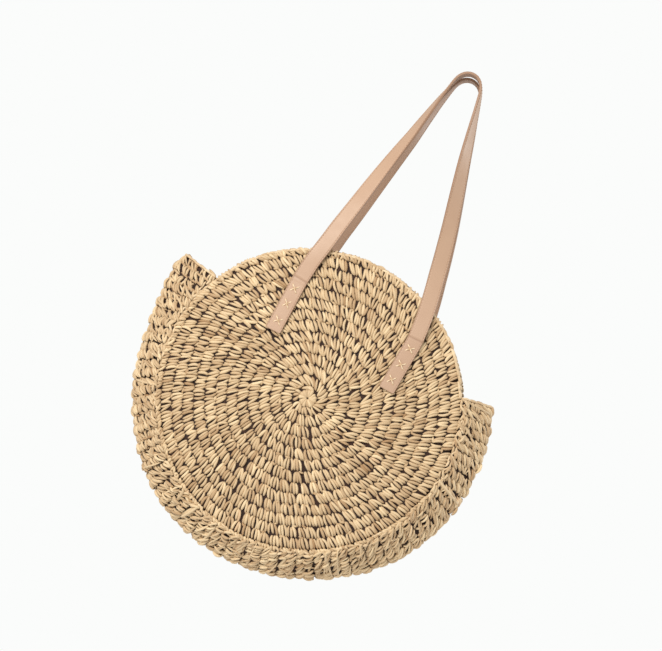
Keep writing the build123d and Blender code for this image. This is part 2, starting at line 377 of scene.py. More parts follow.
def smooth_step(value: Array) -> Array:
    """Ease from 0 to 1 with no slope at either end."""
    share = np.clip(value, 0, 1)
    return share * share * (3 - 2 * share)


def signed_root(value: Array, power: float) -> Array:
    """The value's size to a power, with the value's own sign."""
    return np.sign(value) * np.abs(value) ** power


def read_rows(at: Array, marks: Array, rows: Array) -> Array:
    """Rows of X, Y, Z read at places between their marks."""
    return np.stack([np.interp(at, marks, rows[..., k]) for k in range(3)], axis=-1)


@dataclass
class Skin:
    """Points and faces of a mesh, a UV for each face corner, and named values for each point.

    Attributes:
        points: one row of X, Y, Z for each point.
        corners: the point number at each face corner, face after face.
        sizes: the number of corners of each face.
        uv: one row of U, V for each corner.
        values: a value for each point, by attribute name.
    """

    points: Array
    corners: Array
    sizes: Array
    uv: Array
    values: dict[str, Array] = field(default_factory=dict)

    @staticmethod
    def joined(parts: list[Skin]) -> Skin:
        """Join several skins into one, in order."""
        starts = np.cumsum([0] + [len(part.points) for part in parts[:-1]])
        return Skin(
            np.concatenate([part.points for part in parts]),
            np.concatenate([part.corners + start for part, start in zip(parts, starts)]),
            np.concatenate([part.sizes for part in parts]),
            np.concatenate([part.uv for part in parts]),
            {name: np.concatenate([part.values[name] for part in parts]) for name in parts[0].values},
        )

    def to_object(self, name: str, material: bpy.types.Material, merged: bool = False) -> bpy.types.Object:
        """Make the Blender object, smooth shaded, at the origin.

        Args:
            name: the piece's name.
            material: its finish.
            merged: whether points that coincide, as at poles, are joined and the faces turned outwards.

        Returns:
            The new object, linked to the scene.
        """
        mesh = bpy.data.meshes.new(name)
        mesh.vertices.add(len(self.points))
        mesh.vertices.foreach_set("co", self.points.astype(np.float32).ravel())
        mesh.loops.add(len(self.corners))
        mesh.loops.foreach_set("vertex_index", self.corners.astype(np.int32))
        mesh.polygons.add(len(self.sizes))
        starts = np.concatenate([[0], np.cumsum(self.sizes)[:-1]])
        mesh.polygons.foreach_set("loop_start", starts.astype(np.int32))
        mesh.polygons.foreach_set("use_smooth", np.ones(len(self.sizes), bool))
        mesh.uv_layers.new(name="UVMap").data.foreach_set("uv", self.uv.astype(np.float32).ravel())
        for label, values in self.values.items():
            layer = mesh.attributes.new(label, "FLOAT", "POINT")
            layer.data.foreach_set("value", values.astype(np.float32))
        mesh.update(calc_edges=True)
        mesh.validate()
        if merged:
            work = bmesh.new()
            work.from_mesh(mesh)
            bmesh.ops.remove_doubles(work, verts=work.verts, dist=0.001 * MM)
            bmesh.ops.recalc_face_normals(work, faces=work.faces)
            work.to_mesh(mesh)
            work.free()
        mesh.materials.append(material)
        piece = bpy.data.objects.new(name, mesh)
        bpy.context.scene.collection.objects.link(piece)
        return piece


def strands(
    spine: Array, up: Array, half_width: Array, half_height: Array, tone: Array, sides: int = 8, tuck: float = 0.13
) -> Skin:
    """Closed tapered strands, one for each row of the arrays.

    A ring stands at each inner point of a spine: the point, plus across times half_width times the cosine and up
    times half_height times the sine of the angle round the ring. The first and last points close the strand.

    Args:
        spine: points, of shape (strands, steps, 3).
        up: outward direction at each point, in the same shape.
        half_width: half the strand's width at each point.
        half_height: half its height at each point.
        tone: the strand's own shade, 0 to 1.
        sides: points in a ring.
        tuck: share of the length at each end over which the painted shade of the tucked ends fades out.

    Returns:
        The skin of all the strands.
    """
    count, steps, _ = spine.shape
    along = unit(np.gradient(spine, axis=1))
    across = unit(np.cross(along, up))
    rise = np.cross(across, along)
    turn = np.arange(sides) * 2 * math.pi / sides
    ring = (
        spine[:, 1:-1, None]
        + across[:, 1:-1, None] * (half_width[:, 1:-1, None] * np.cos(turn))[..., None]
        + rise[:, 1:-1, None] * (half_height[:, 1:-1, None] * np.sin(turn))[..., None]
    )
    rings = steps - 2
    points = np.concatenate([spine[:, :1], ring.reshape(count, rings * sides, 3), spine[:, -1:]], axis=1)
    size = rings * sides + 2
    this = np.arange(sides)
    after = (this + 1) % sides
    foot = 1 + np.arange(rings - 1)[:, None] * sides
    quads = np.stack([foot + this, foot + sides + this, foot + sides + after, foot + after], axis=-1)
    quads = quads.reshape(-1, 4)
    top = 1 + (rings - 1) * sides
    ends = np.concatenate(
        [
            np.stack([0 * this, 1 + this, 1 + after], axis=-1),
            np.stack([0 * this + size - 1, top + after, top + this], axis=-1),
        ]
    )
    share = np.arange(steps) / (steps - 1)
    low, high = this / sides, (this + 1) / sides
    quad_uv = np.stack(
        [
            np.stack([np.tile(edge, rings - 1), np.repeat(share[1 + step : rings + step], sides)], axis=-1)
            for edge, step in ((low, 0), (low, 1), (high, 1), (high, 0))
        ],
        axis=1,
    )
    middle = (low + high) / 2
    tips = (
        ((middle, 0), (low, share[1]), (high, share[1])),
        ((middle, 1), (high, share[-2]), (low, share[-2])),
    )
    end_uv = np.concatenate(
        [np.stack([np.stack([u, v + 0 * u], axis=-1) for u, v in tip], axis=1) for tip in tips]
    )
    one = np.concatenate([quads.ravel(), ends.ravel()])
    # Painted shade at each end: full at the tip, gone after the tuck share.
    painted_end_shade = np.clip(1 - np.minimum(share, 1 - share) / tuck, 0, 1)
    point_share = np.concatenate([painted_end_shade[:1], np.repeat(painted_end_shade[1:-1], sides), painted_end_shade[-1:]])
    shifts = np.arange(count)[:, None] * size
    return Skin(
        points.reshape(-1, 3),
        (one[None] + shifts).ravel(),
        np.tile(np.concatenate([np.full(len(quads), 4), np.full(len(ends), 3)]), count),
        np.tile(np.concatenate([quad_uv.reshape(-1, 2), end_uv.reshape(-1, 2)]), (count, 1)),
        {"tone": np.repeat(tone, size), "tuck": np.tile(point_share, count)},
    )


def grid_skin(points: Array, uv: Array, closed: bool = False) -> Skin:
    """A grid of quads over points of shape (rows, columns, 3), with a UV for each point.

    Args:
        points: the grid's points.
        uv: the grid's UVs.
        closed: whether the last column joins the first.

    Returns:
        The grid's skin.
    """
    rows, columns, _ = points.shape
    row, column = np.meshgrid(np.arange(rows - 1), np.arange(columns if closed else columns - 1), indexing="ij")
    after = (column + 1) % columns
    corners = np.stack(
        [row * columns + column, row * columns + after, (row + 1) * columns + after, (row + 1) * columns + column],
        axis=-1,
    ).reshape(-1)
    return Skin(points.reshape(-1, 3), corners, np.full(len(corners) // 4, 4), uv.reshape(-1, 2)[corners])


# ---------------------------------------------------------------- crochet surfaces


@dataclass
class DiscSurface:
    """Outer face of one dished disc, read from its CAD node.

    A point at angle a and radius r lies on a sphere cap: X = r cos a, Z = r sin a, and the depth is the edge's
    depth plus the cap's rise, lifted along the sphere's own normal.
    """

    side: Side

    def __post_init__(self) -> None:
        """Read the cap's sizes from the panel's box."""
        low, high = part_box(f"{self.side.word}_panel")
        self.radius = (high.x - low.x) / 2
        self.centre_z = (high.z + low.z) / 2
        self.bulge = (high.y - low.y) - CROCHET_WALL
        self.edge_depth = min(abs(low.y), abs(high.y)) + CROCHET_WALL
        self.sphere = (self.radius**2 + self.bulge**2) / (2 * self.bulge)

    def at(self, angle: Array, radius: Array, rise: Array | float) -> tuple[Array, Array]:
        """Points on the face and its outward normals.

        Args:
            angle: angle above +X, in radians.
            radius: distance from the disc's axis.
            rise: height above the face.

        Returns:
            Points and normals, each with a last axis of X, Y, Z.
        """
        angle, radius, rise = np.broadcast_arrays(angle, radius, rise)
        reach = np.sqrt(self.sphere**2 - radius**2)
        x, z = radius * np.cos(angle), radius * np.sin(angle)
        normal = np.stack([x, self.side.value * reach, z], axis=-1) / self.sphere
        depth = self.edge_depth + reach - (self.sphere - self.bulge)
        point = np.stack([x, self.side.value * depth, z + self.centre_z], axis=-1)
        return point + normal * np.asarray(rise)[..., None], normal


@dataclass
class GussetSurface:
    """Outer face of the folded gusset.

    The share s runs from the right ear, down and round to the left ear; the share c runs from the front seam at
    -1 over the fold at 0 to the back seam at 1. The radius falls from the fold to the seams along a hyperbola,
    which is a V with a rounded tip, and the fold stands further out towards the ears.
    """

    base_radius: float = 187.0 * MM
    notch_angle: float = math.radians(26.5)
    end_tilt: float = math.radians(12.0)
    tip_round: float = 0.16
    ear_flares: tuple[float, float] = (3.5 * MM, 18.5 * MM)
    flare_lengths: tuple[float, float] = (80.0 * MM, 52.0 * MM)
    swell: float = 2.2 * MM
    drawn_in: float = 3.0 * MM

    def __post_init__(self) -> None:
        """Read the fold's radius and the seams' depth from the gusset's box."""
        low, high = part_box("gusset")
        panel_low, panel_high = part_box("front_panel")
        self.fold_radius = (high.x - low.x) / 2
        self.half_depth = (high.y - low.y) / 2
        self.centre_z = (panel_low.z + panel_high.z) / 2
        self.mean_radius = (self.fold_radius + self.base_radius) / 2
        self.length = self.mean_radius * (math.pi + 2 * self.notch_angle)
        self.slant = math.hypot(self.half_depth, self.fold_radius - self.base_radius)

    def flare(self, s: Array) -> Array:
        """How far the fold stands out beyond its round: a bell curve at each ear and slow swells between, less a
        bell at the bottom, which is drawn in."""
        bells = [
            height * np.exp(-((share * self.length / reach) ** 2))
            for share, height, reach in zip((s, 1 - s), self.ear_flares, self.flare_lengths)
        ]
        between = np.sqrt(np.clip(np.sin(math.pi * s), 0, 1))
        bottom = self.drawn_in * np.exp(-(((s - 0.52) / 0.13) ** 2))
        return bells[0] + bells[1] - bottom + self.swell * between * np.sin(15.6 * s - 1.2)

    def end_angle(self, radius: Array) -> Array:
        """Angle of the right ear's straight end at a radius: where a tilted line from the notch meets a circle."""
        start = self.base_radius * np.array([math.cos(self.notch_angle), math.sin(self.notch_angle)])
        along = np.array([math.cos(self.end_tilt), math.sin(self.end_tilt)])
        lead = start @ along
        reach = -lead + np.sqrt(np.maximum(lead**2 - start @ start + radius**2, 0))
        return np.arctan2(start[1] + reach * along[1], start[0] + reach * along[0])

    def place(self, s: Array, c: Array) -> Array:
        """Points on the face, without any lift."""
        s, c = np.broadcast_arrays(s, c)
        height = self.fold_radius - self.base_radius + self.flare(s)
        soft = self.tip_round
        fall = (np.sqrt(c**2 + soft**2) - soft) / (math.sqrt(1 + soft**2) - soft)
        radius = self.base_radius + height * (1 - fall)
        right = self.end_angle(radius)
        angle = right + (-math.pi - 2 * right) * s
        x, z = radius * np.cos(angle), self.centre_z + radius * np.sin(angle)
        return np.stack([x, self.half_depth * c, z], axis=-1)

    def at(self, s: Array, c: Array, rise: Array | float) -> tuple[Array, Array]:
        """Points lifted along the outward normal, and those normals.

        Args:
            s: share round the gusset.
            c: share across it.
            rise: height above the face.

        Returns:
            Points and normals.
        """
        small = 1e-4
        point = self.place(s, c)
        along = self.place(s + small, c) - self.place(s - small, c)
        over = self.place(s, c + small) - self.place(s, c - small)
        normal = unit(np.cross(along, over))
        outward = point - np.array([0.0, 0.0, self.centre_z])
        normal = normal * np.sign((normal * outward).sum(-1, keepdims=True))
        return point + normal * np.asarray(rise)[..., None], normal


# ---------------------------------------------------------------- crochet


@dataclass
class StitchShape:
    """Sizes of one crochet stitch: a fan of plump legs, close at the foot and apart at the head."""

    width: float = 11.7 * MM
    height: float = 13.2 * MM
    legs_each: int = 3
    leg_half_width: float = 1.93 * MM
    leg_half_height: float = 2.25 * MM
    foot_offset: float = 1.6 * MM
    head_offset: float = 3.95 * MM
    bow: float = 0.35 * MM
    curl: float = 0.75 * MM
    overlap: float = 1.7 * MM
    foot_dip: float = 2.6 * MM
    head_dip: float = 4.4 * MM
    slant: float = math.radians(19.0)
    scatter: float = 1.0
    steps: int = 8

    def legs(
        self, rng: np.random.Generator, count: int, way: Array | float = 1.0
    ) -> tuple[Array, Array, Array, Array, Array]:
        """Offsets of all legs of each stitch in its own flat frame.

        With t from 0 at the foot to 1 at the head, a leg runs forward by the stitch's height and an
        overlap. It stands off the stitch's middle by the foot's offset, easing out to the head's, plus a
        sine for the bow. A sine for the curl bends all of a stitch's legs the same way, and they lean by
        the slant. A leg dives at both ends as a root of a sine falls, which leaves dark holes between the
        feet, and it is as plump as a superellipse.

        Args:
            rng: the random source.
            count: number of stitches.
            way: which way each stitch leans, and how strongly.

        Returns:
            Sideways, forward and lift offsets, half widths and half heights, each of shape (legs, steps).
        """
        t = np.linspace(0, 1, self.steps)[None]
        t = 0.65 * t + 0.35 * (0.5 - 0.5 * np.cos(math.pi * t))
        each = self.legs_each
        hand = np.repeat(np.linspace(-1, 1, each), count)[:, None]
        pair = np.tile(rng.normal(0, self.scatter, (count, 6)), (each, 1))
        own = rng.normal(0, self.scatter, (each * count, 8))
        length = (self.height + self.overlap) * (1 + 0.045 * own[:, 6:7])
        forward = length * (t - 0.5) + 0.35 * MM * own[:, :1] + 0.35 * MM * pair[:, :1]
        part = 1 - np.clip(1 - t / 0.55, 0, 1) ** 2
        fan = self.foot_offset + (self.head_offset - self.foot_offset) * part + self.bow * np.sin(math.pi * t)
        side = hand * fan * (1 + 0.08 * own[:, 1:2]) + 0.3 * MM * pair[:, 2:3] + 0.25 * MM * own[:, 7:]
        lean = self.slant * (1 + 0.28 * pair[:, 1:2] + 0.28 * own[:, 5:6])
        side = side + self.curl * (0.5 + 0.7 * own[:, 4:5]) * np.sin(math.pi * t)
        side = side + np.tan(lean) * np.tile(np.broadcast_to(way, (count,)), each)[:, None] * forward
        crown = np.clip(np.sin(math.pi * t), 0, 1) ** 0.6
        dive = np.where(t < 0.5, self.foot_dip, self.head_dip) * (1 - crown)
        lift = -self.leg_half_height - dive + 0.35 * MM * own[:, 2:3] + 0.3 * MM * pair[:, 3:4]
        plump = np.sqrt(np.clip(1 - np.abs(2 * t - 1) ** 2.6, 0, 1)) * (1.04 - 0.16 * t)
        half_width = self.leg_half_width * plump * (1 + 0.1 * own[:, 3:4])
        half_height = self.leg_half_height * plump * (1 + 0.07 * own[:, 4:5])
        return side, forward, lift, half_width, half_height

    def tones(self, rng: np.random.Generator, count: int) -> Array:
        """A shade for each leg, partly shared by a stitch's legs, because one length of straw makes them all."""
        pair = np.tile(rng.normal(0, 0.08, count), self.legs_each)
        return np.clip(0.55 + pair + rng.normal(0, 0.15, self.legs_each * count), 0, 1)


def mouth_sag(angle: Array, notch: float) -> Array:
    """How far a disc's edge has sunk along the mouth: a sine squared from ear to ear."""
    share = (np.mod(angle, 2 * math.pi) - notch) / (math.pi - 2 * notch)
    return MOUTH_SAG * np.where((share > 0) & (share < 1), np.sin(math.pi * np.clip(share, 0, 1)) ** 2, 0.0)


@dataclass
class CrochetDisc:
    """One disc worked in a spiral: a star of small legs, then stitches turn after turn, over a ground plate in
    painted shade.
    """

    surface: DiscSurface
    straw: bpy.types.Material
    painted_shade: bpy.types.Material
    notch: float
    stitch: StitchShape = field(default_factory=StitchShape)
    star_radius: float = 10.5 * MM
    star_legs: int = 15
    turns: float = 13.0
    overhang: float = 3.0 * MM
    shortest: float = 3.2 * MM
    ground_rise: tuple[float, float] = (-4.2 * MM, -6.9 * MM)

    @property
    def climb(self) -> float:
        """How much the spiral's radius grows in a turn."""
        return (self.surface.radius + 1.0 * MM - self.star_radius) / self.turns

    def line(self, turn: Array) -> Array:
        """Radius of the line between two rounds after so many turns: a spiral that wanders by slow sines."""
        angle = 2 * math.pi * turn
        radius = self.star_radius + self.climb * turn
        wander = 0.8 * np.sin(3 * angle + 1.0) + 0.5 * np.sin(7 * angle + 40 * radius) + 1.1 * np.sin(angle - 2.2)
        return radius + wander * MM * smooth_step(radius / (60 * MM))

    def around(self, start: float, shift: float) -> Array:
        """Turns at which stitches stand one width apart along the spiral, from the root of the spiral's length.

        Args:
            start: the first turn.
            shift: distance from the line between rounds at which the width is measured.

        Returns:
            The turn of each stitch, up to the last turn.
        """
        first = self.star_radius + shift + self.climb * start
        reach = self.turns - start
        count = int(2 * math.pi / self.stitch.width * (first * reach + self.climb * reach**2 / 2))
        number = np.arange(count)
        return start + (np.sqrt(first**2 + self.climb * number * self.stitch.width / math.pi) - first) / self.climb

    def rows(self, rng: np.random.Generator) -> Skin:
        """The spiral of stitches: each reaches from the line to the line one turn on, or to the disc's edge."""
        turn = self.around(-0.7, self.climb / 2)
        jitter = 0.05 * rng.normal(0, 1, len(turn)) * self.stitch.width
        turn = turn + jitter / (2 * math.pi * np.maximum(self.line(turn), self.star_radius))
        way = -self.surface.side.value
        edge = self.surface.radius + self.overhang - mouth_sag(way * 2 * math.pi * turn, self.notch)
        inner, outer = np.maximum(self.line(turn), self.star_radius), np.minimum(self.line(turn + 1), edge)
        keep = outer - inner > self.shortest
        turn, inner, outer = turn[keep], inner[keep], outer[keep]
        count = len(turn)
        lean = 1 + 0.32 * np.sin(way * 2 * math.pi * turn) + 0.12 * np.sin(5 * turn + 1)
        side, forward, lift, half_width, half_height = self.stitch.legs(rng, count, way * lean)
        each = self.stitch.legs_each
        middle = np.tile((inner + outer) / 2, each)[:, None]
        stretch = np.tile((outer - inner) / self.stitch.height, each)[:, None]
        radius = middle + forward * stretch
        angle = way * 2 * math.pi * np.tile(turn, each)[:, None] + side / middle
        narrow = 0.3 + 0.7 * np.clip(radius / middle, 0.3, 1.3)
        spine, up = self.surface.at(angle, np.maximum(radius, 4 * MM), lift)
        return strands(spine, up, half_width * narrow, half_height, self.stitch.tones(rng, count), sides=6)

    def bridges(self, rng: np.random.Generator) -> Skin:
        """Straw that shows in some of the holes: short strands aslant the line between two rounds."""
        turn = self.around(0.0, 0.0)
        turn = turn[(rng.uniform(0, 1, len(turn)) < 0.45) & (turn < self.turns - 0.5)]
        own = rng.normal(0, 1, (len(turn), 5))
        t = np.linspace(0, 1, 6)[None]
        radius = self.line(turn)[:, None]
        way = -self.surface.side.value
        angle = way * 2 * math.pi * turn[:, None] + (t - 0.5) * 7.5 * MM / radius
        reach = radius + (t - 0.5) * (2.2 + 2.2 * own[:, :1]) * MM * way + own[:, 1:2] * 0.8 * MM
        crown = np.clip(np.sin(math.pi * t), 0, 1)
        lift = -4.3 * MM + 1.3 * MM * crown + own[:, 2:3] * 0.5 * MM
        spine, up = self.surface.at(angle, reach, lift)
        thick = 1.65 * MM * crown**0.5 * (1 + 0.12 * own[:, 3:4])
        # Their tone is set lower than the stitches' as painted shade, for straw sunk in the holes.
        return strands(spine, up, thick, thick * 0.85, np.clip(0.4 + 0.15 * own[:, 4], 0, 1), sides=6)

    def star(self, rng: np.random.Generator) -> Skin:
        """The first ring: small legs that run straight out from the centre, where they all but touch."""
        angle = np.arange(self.star_legs) * 2 * math.pi / self.star_legs + rng.normal(0, 0.05, self.star_legs)
        t = np.linspace(0, 1, self.stitch.steps)[None]
        radius = 0.5 * MM + (self.star_radius + 0.4 * MM) * t + rng.normal(0, 0.45 * MM, (self.star_legs, 1)) * t
        lift = -1.5 * MM - 0.9 * MM * (1 - t) ** 2 - 2.6 * MM * t**5
        spine, up = self.surface.at(angle[:, None] + 0.22 * (t - 0.5), radius, lift + 0 * radius)
        plump = np.sqrt(np.clip(1 - np.abs(2 * t - 1) ** 5, 0, 1))
        width = (0.5 * MM + 0.21 * radius) * plump * (1 + rng.normal(0, 0.08, (self.star_legs, 1)))
        tone = np.clip(0.62 + rng.normal(0, 0.12, self.star_legs), 0, 1)
        return strands(spine, up, width, np.minimum(width, 1.7 * MM), tone, tuck=0.04)

    def ground(self) -> Skin:
        """A closed plate behind the stitches, as deep as the crochet's inner half."""
        turns, steps = 96, 26
        angle = np.linspace(0, 2 * math.pi, turns, endpoint=False)
        share = np.linspace(0, 1, steps)
        edge = self.surface.radius - 0.8 * MM
        radius = np.concatenate([edge * share, edge * share[::-1]])
        rise = np.repeat(self.ground_rise, steps)
        grid, _ = self.surface.at(angle[None], radius[:, None], rise[:, None] + 0 * angle[None])
        return grid_skin(grid, grid[..., [0, 2]], closed=True)

    def build(self, rng: np.random.Generator) -> list[bpy.types.Object]:
        """Make the disc's pieces and ride them on the bag."""
        word = self.surface.side.word
        stitches = Skin.joined([self.rows(rng), self.bridges(rng), self.star(rng)])
        pieces = [
            stitches.to_object(f"{word}_disc_stitches", self.straw),
            # The ground plate is dressed in painted shade.
            self.ground().to_object(f"{word}_disc_ground", self.painted_shade, merged=True),
        ]
        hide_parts(f"{word}_panel")
        for piece in pieces:
            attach(piece, "bag")
        return pieces


@dataclass
class CrochetGusset:
    """The gusset, worked in short rows from seam to seam and back, so that every second row stands proud."""

    surface: GussetSurface
    straw: bpy.types.Material
    painted_shade: bpy.types.Material
    stitch: StitchShape = field(
        default_factory=lambda: StitchShape(
            width=10.7 * MM,
            height=10.6 * MM,
            head_offset=3.9 * MM,
            leg_half_width=1.62 * MM,
            leg_half_height=1.9 * MM,
            overlap=2.6 * MM,
            foot_dip=2.0 * MM,
            slant=math.radians(31.0),
            scatter=1.7,
        )
    )
    across: int = 9
    row_gap: float = 0.6 * MM
    ridge: float = 0.6 * MM
    ground_rise: tuple[float, float] = (-4.2 * MM, -6.8 * MM)

    def rows(self, rng: np.random.Generator) -> Skin:
        """All rows: a stitch's forward axis runs round the gusset and its sideways axis across it."""
        surface, stitch = self.surface, self.stitch
        number = int(round(surface.length / (stitch.height + self.row_gap)))
        row, column = np.meshgrid(np.arange(number), np.arange(self.across), indexing="ij")
        row, column = row.ravel(), column.ravel()
        count = len(row)
        way = np.where(row % 2 == 0, 1.0, -1.0)
        side, forward, lift, half_width, half_height = stitch.legs(rng, count, way)
        both = np.tile(way, stitch.legs_each)[:, None]
        shift = 0.25 * way / self.across
        s = np.tile((row + 0.5) / number, stitch.legs_each)[:, None] + both * (forward + 0.9 * MM) / surface.length
        c = np.tile((column + 0.5) / self.across * 2 - 1 + shift, stitch.legs_each)[:, None] + side / surface.slant
        ridge = self.ridge * both * (1 + 0.4 * rng.normal(0, 1, (stitch.legs_each * count, 1)))
        spine, up = surface.at(s, np.clip(c, -1.04, 1.04), lift + ridge)
        return strands(spine, up, half_width, half_height, stitch.tones(rng, count), sides=6)

    def loops(self, rng: np.random.Generator) -> Skin:
        """The loops across the foot of each row, sunk between the ridges."""
        surface = self.surface
        number = int(round(surface.length / self.stitch.height)) + 1
        row, column = np.meshgrid(np.arange(number), np.arange(self.across), indexing="ij")
        row, column = row.ravel(), column.ravel()
        own = rng.normal(0, 1, (len(row), 4))
        t = np.linspace(0, 1, 6)[None]
        s = ((row + 0.08 * own[:, 0]) / (number - 1))[:, None] + (t - 0.5) * 0.0035
        c = ((column + 0.5) / self.across * 2 - 1)[:, None] + (t - 0.5) * 2.5 / self.across
        crown = np.clip(np.sin(math.pi * t), 0, 1)
        spine, up = surface.at(s, np.clip(c, -1, 1), -4.4 * MM + 1.2 * MM * crown + own[:, 1:2] * 0.4 * MM)
        thick = 1.6 * MM * crown**0.5 * (1 + 0.1 * own[:, 2:3])
        # Their tone is set low as painted shade, for straw sunk between the ridges.
        return strands(spine, up, thick, thick * 0.8, np.clip(0.3 + 0.15 * own[:, 3], 0, 1), sides=6)

    def ground(self) -> Skin:
        """A closed band behind the stitches, whose two faces meet at its ends."""
        s = np.concatenate([[0.0], np.linspace(0.001, 0.999, 150), [1.0]])[:, None]
        c = np.concatenate([np.linspace(-0.99, 0.99, 21), np.linspace(0.99, -0.99, 21)])[None]
        rise = np.repeat(self.ground_rise, 21)[None] + 0 * s
        rise[[0, -1]] = sum(self.ground_rise) / 2
        grid, _ = self.surface.at(s, c, rise)
        return grid_skin(grid, grid[..., [0, 2]], closed=True)

    def build(self, rng: np.random.Generator) -> list[bpy.types.Object]:
        """Make the gusset's pieces and ride them on the bag."""
        stitches = Skin.joined([self.rows(rng), self.loops(rng)])
        pieces = [
            stitches.to_object("gusset_stitches", self.straw),
            # The ground band is dressed in painted shade.
            self.ground().to_object("gusset_ground", self.painted_shade, merged=True),
        ]
        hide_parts("gusset")
        for piece in pieces:
            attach(piece, "bag")
        return pieces


@dataclass
class ChainEdge:
    """A chain-stitch edging: links that each show as two slanting legs, like a plait, along a path."""

    straw: bpy.types.Material
    pitch: float = 8.6 * MM
    half_width: float = 1.75 * MM
    half_height: float = 1.5 * MM
    spread: float = 2.3 * MM
    scatter: float = 1.0

    def along(
        self, path: Callable[[Array], tuple[Array, Array, Array]], length: float, rng: np.random.Generator
    ) -> Skin:
        """Lay the chain along a path.

        Args:
            path: gives centre line, outward direction and sideways direction for distances along it.
            length: the path's length.
            rng: the random source.

        Returns:
            The chain's skin.
        """
        links = int(round(length / self.pitch))
        count = 2 * links
        hand = np.repeat([-1.0, 1.0], links)[:, None]
        own = rng.normal(0, 1, (count, 5))
        own[:, :3] = own[:, :3] * self.scatter
        t = np.linspace(0, 1, 8)[None]
        start = (np.tile(np.arange(links), 2) + 0.5 + 0.05 * own[:, 0])[:, None] * length / links
        distance = start + (t - 0.5) * self.pitch * 1.55
        centre, out, over = path(np.clip(distance, 0, length))
        crown = np.clip(np.sin(math.pi * t), 0, 1)
        side = hand * self.spread * (0.18 + 0.82 * t) * (1 + 0.08 * own[:, 1:2])
        side = side + 0.12 * self.spread * (self.scatter - 1) * own[:, 1:2] * (t - 0.5)
        lift = -1.7 * MM * (1 - crown**0.6) + 0.25 * MM * own[:, 2:3]
        spine = centre + over * side[..., None] + out * lift[..., None]
        plump = np.clip(np.sin(math.pi * t**0.9), 0, 1) ** 0.55
        direction = unit(out + 0.45 * over * hand[..., None])
        return strands(
            spine,
            direction,
            self.half_width * plump * (1 + 0.07 * own[:, 3:4]),
            self.half_height * plump * (1 + 0.07 * own[:, 4:]),
            np.clip(0.58 + 0.14 * rng.normal(0, 1, count), 0, 1),
        )


@dataclass
class CrochetEdges:
    """The plaited rim of each disc, the seam chains beside the gusset, and the edge along each ear's end."""

    discs: dict[Side, DiscSurface]
    gusset: GussetSurface
    straw: bpy.types.Material
    rim_overhang: float = 1.2 * MM
    rim_sink: float = 0.9 * MM
    seam_sink: float = 2.8 * MM

    def rim(self, side: Side, rng: np.random.Generator) -> bpy.types.Object:
        """The rim over the mouth, from ear to ear, wrapped round the disc's edge."""
        disc = self.discs[side]
        notch = self.gusset.notch_angle
        radius = disc.radius + self.rim_overhang
        length = radius * (math.pi - 2 * notch)
        middle = side.value * (disc.edge_depth - CROCHET_WALL / 2)

        def path(distance: Array) -> tuple[Array, Array, Array]:
            """Circle of the rim: outward is away from the disc's axis, sideways is along the bag's depth."""
            angle = notch + distance / radius
            out = np.stack([np.cos(angle), 0 * angle, np.sin(angle)], axis=-1)
            wobble = 0.5 * MM * np.sin(9 * angle) - mouth_sag(angle, notch) - self.rim_sink
            centre = out * (radius + wobble)[..., None] + np.array([0.0, middle, disc.centre_z])
            return centre, out, np.broadcast_to([0.0, 1.0, 0.0], out.shape)

        chain = ChainEdge(self.straw, half_width=2.0 * MM, half_height=1.9 * MM, spread=2.6 * MM, scatter=1.8)
        piece = chain.along(path, length, rng).to_object(f"{side.word}_rim_plait", self.straw)
        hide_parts(f"{side.word}_rim_edging")
        return piece

    def seam(self, side: Side, rng: np.random.Generator) -> bpy.types.Object:
        """The joining chain between a disc and the gusset, sunk a little below both."""
        disc = self.discs[side]
        notch = self.gusset.notch_angle
        radius = (disc.radius + self.gusset.base_radius) / 2
        length = radius * (math.pi + 2 * notch)
        depth = side.value * (disc.edge_depth - self.seam_sink)

        def path(distance: Array) -> tuple[Array, Array, Array]:
            """Circle of the seam: outward is half towards the face and half away from the axis."""
            angle = notch - distance / radius
            away = np.stack([np.cos(angle), 0 * angle, np.sin(angle)], axis=-1)
            face = np.array([0.0, side.value, 0.0])
            drift = 1.0 * MM * np.sin(23 * angle) + 0.7 * MM * np.sin(61 * angle + 1)
            centre = away * (radius + drift)[..., None] + np.array([0.0, depth, disc.centre_z])
            return centre, unit(0.15 * away + face), unit(away - 0.15 * face)

        chain = ChainEdge(
            self.straw, pitch=6.6 * MM, half_width=1.5 * MM, half_height=1.6 * MM, spread=3.2 * MM, scatter=3.0
        )
        piece = chain.along(path, length, rng).to_object(f"{side.word}_seam_chain", self.straw)
        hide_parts(f"{side.word}_seam")
        return piece

    def ear(self, hand: Hand, rng: np.random.Generator) -> bpy.types.Object:
        """The edge along an ear's end, from the front seam over the fold to the back seam."""
        share, further = (0.002, 0.012) if hand is Hand.RIGHT else (0.998, 0.988)
        c = np.linspace(-1, 1, 161)
        rise = np.full_like(c, -CROCHET_WALL / 2)
        points, normals = self.gusset.at(np.full_like(c, share), c, rise)
        inward, _ = self.gusset.at(np.full_like(c, further), c, rise)
        distances = np.concatenate([[0], np.cumsum(np.linalg.norm(np.diff(points, axis=0), axis=1))])
        outward = unit(points - inward)

        def path(distance: Array) -> tuple[Array, Array, Array]:
            """The end of the gusset's wall: outward is away from the gusset, sideways is through its wall."""
            centre, out, over = (read_rows(distance, distances, rows) for rows in (points, outward, normals))
            return centre + unit(out) * 1.2 * MM, unit(out), unit(over)

        chain = ChainEdge(self.straw, spread=2.4 * MM)
        piece = chain.along(path, float(distances[-1]), rng).to_object(f"{hand.word}_ear_plait", self.straw)
        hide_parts(f"{hand.word}_ear_edging")
        return piece

    def build(self, rng: np.random.Generator) -> list[bpy.types.Object]:
        """Make all the edges and ride them on the bag."""
        pieces = [self.rim(side, rng) for side in Side]
        pieces += [self.seam(side, rng) for side in Side]
        pieces += [self.ear(hand, rng) for hand in Hand]
        for piece in pieces:
            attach(piece, "bag")
        return pieces


# ---------------------------------------------------------------- lining and pocket


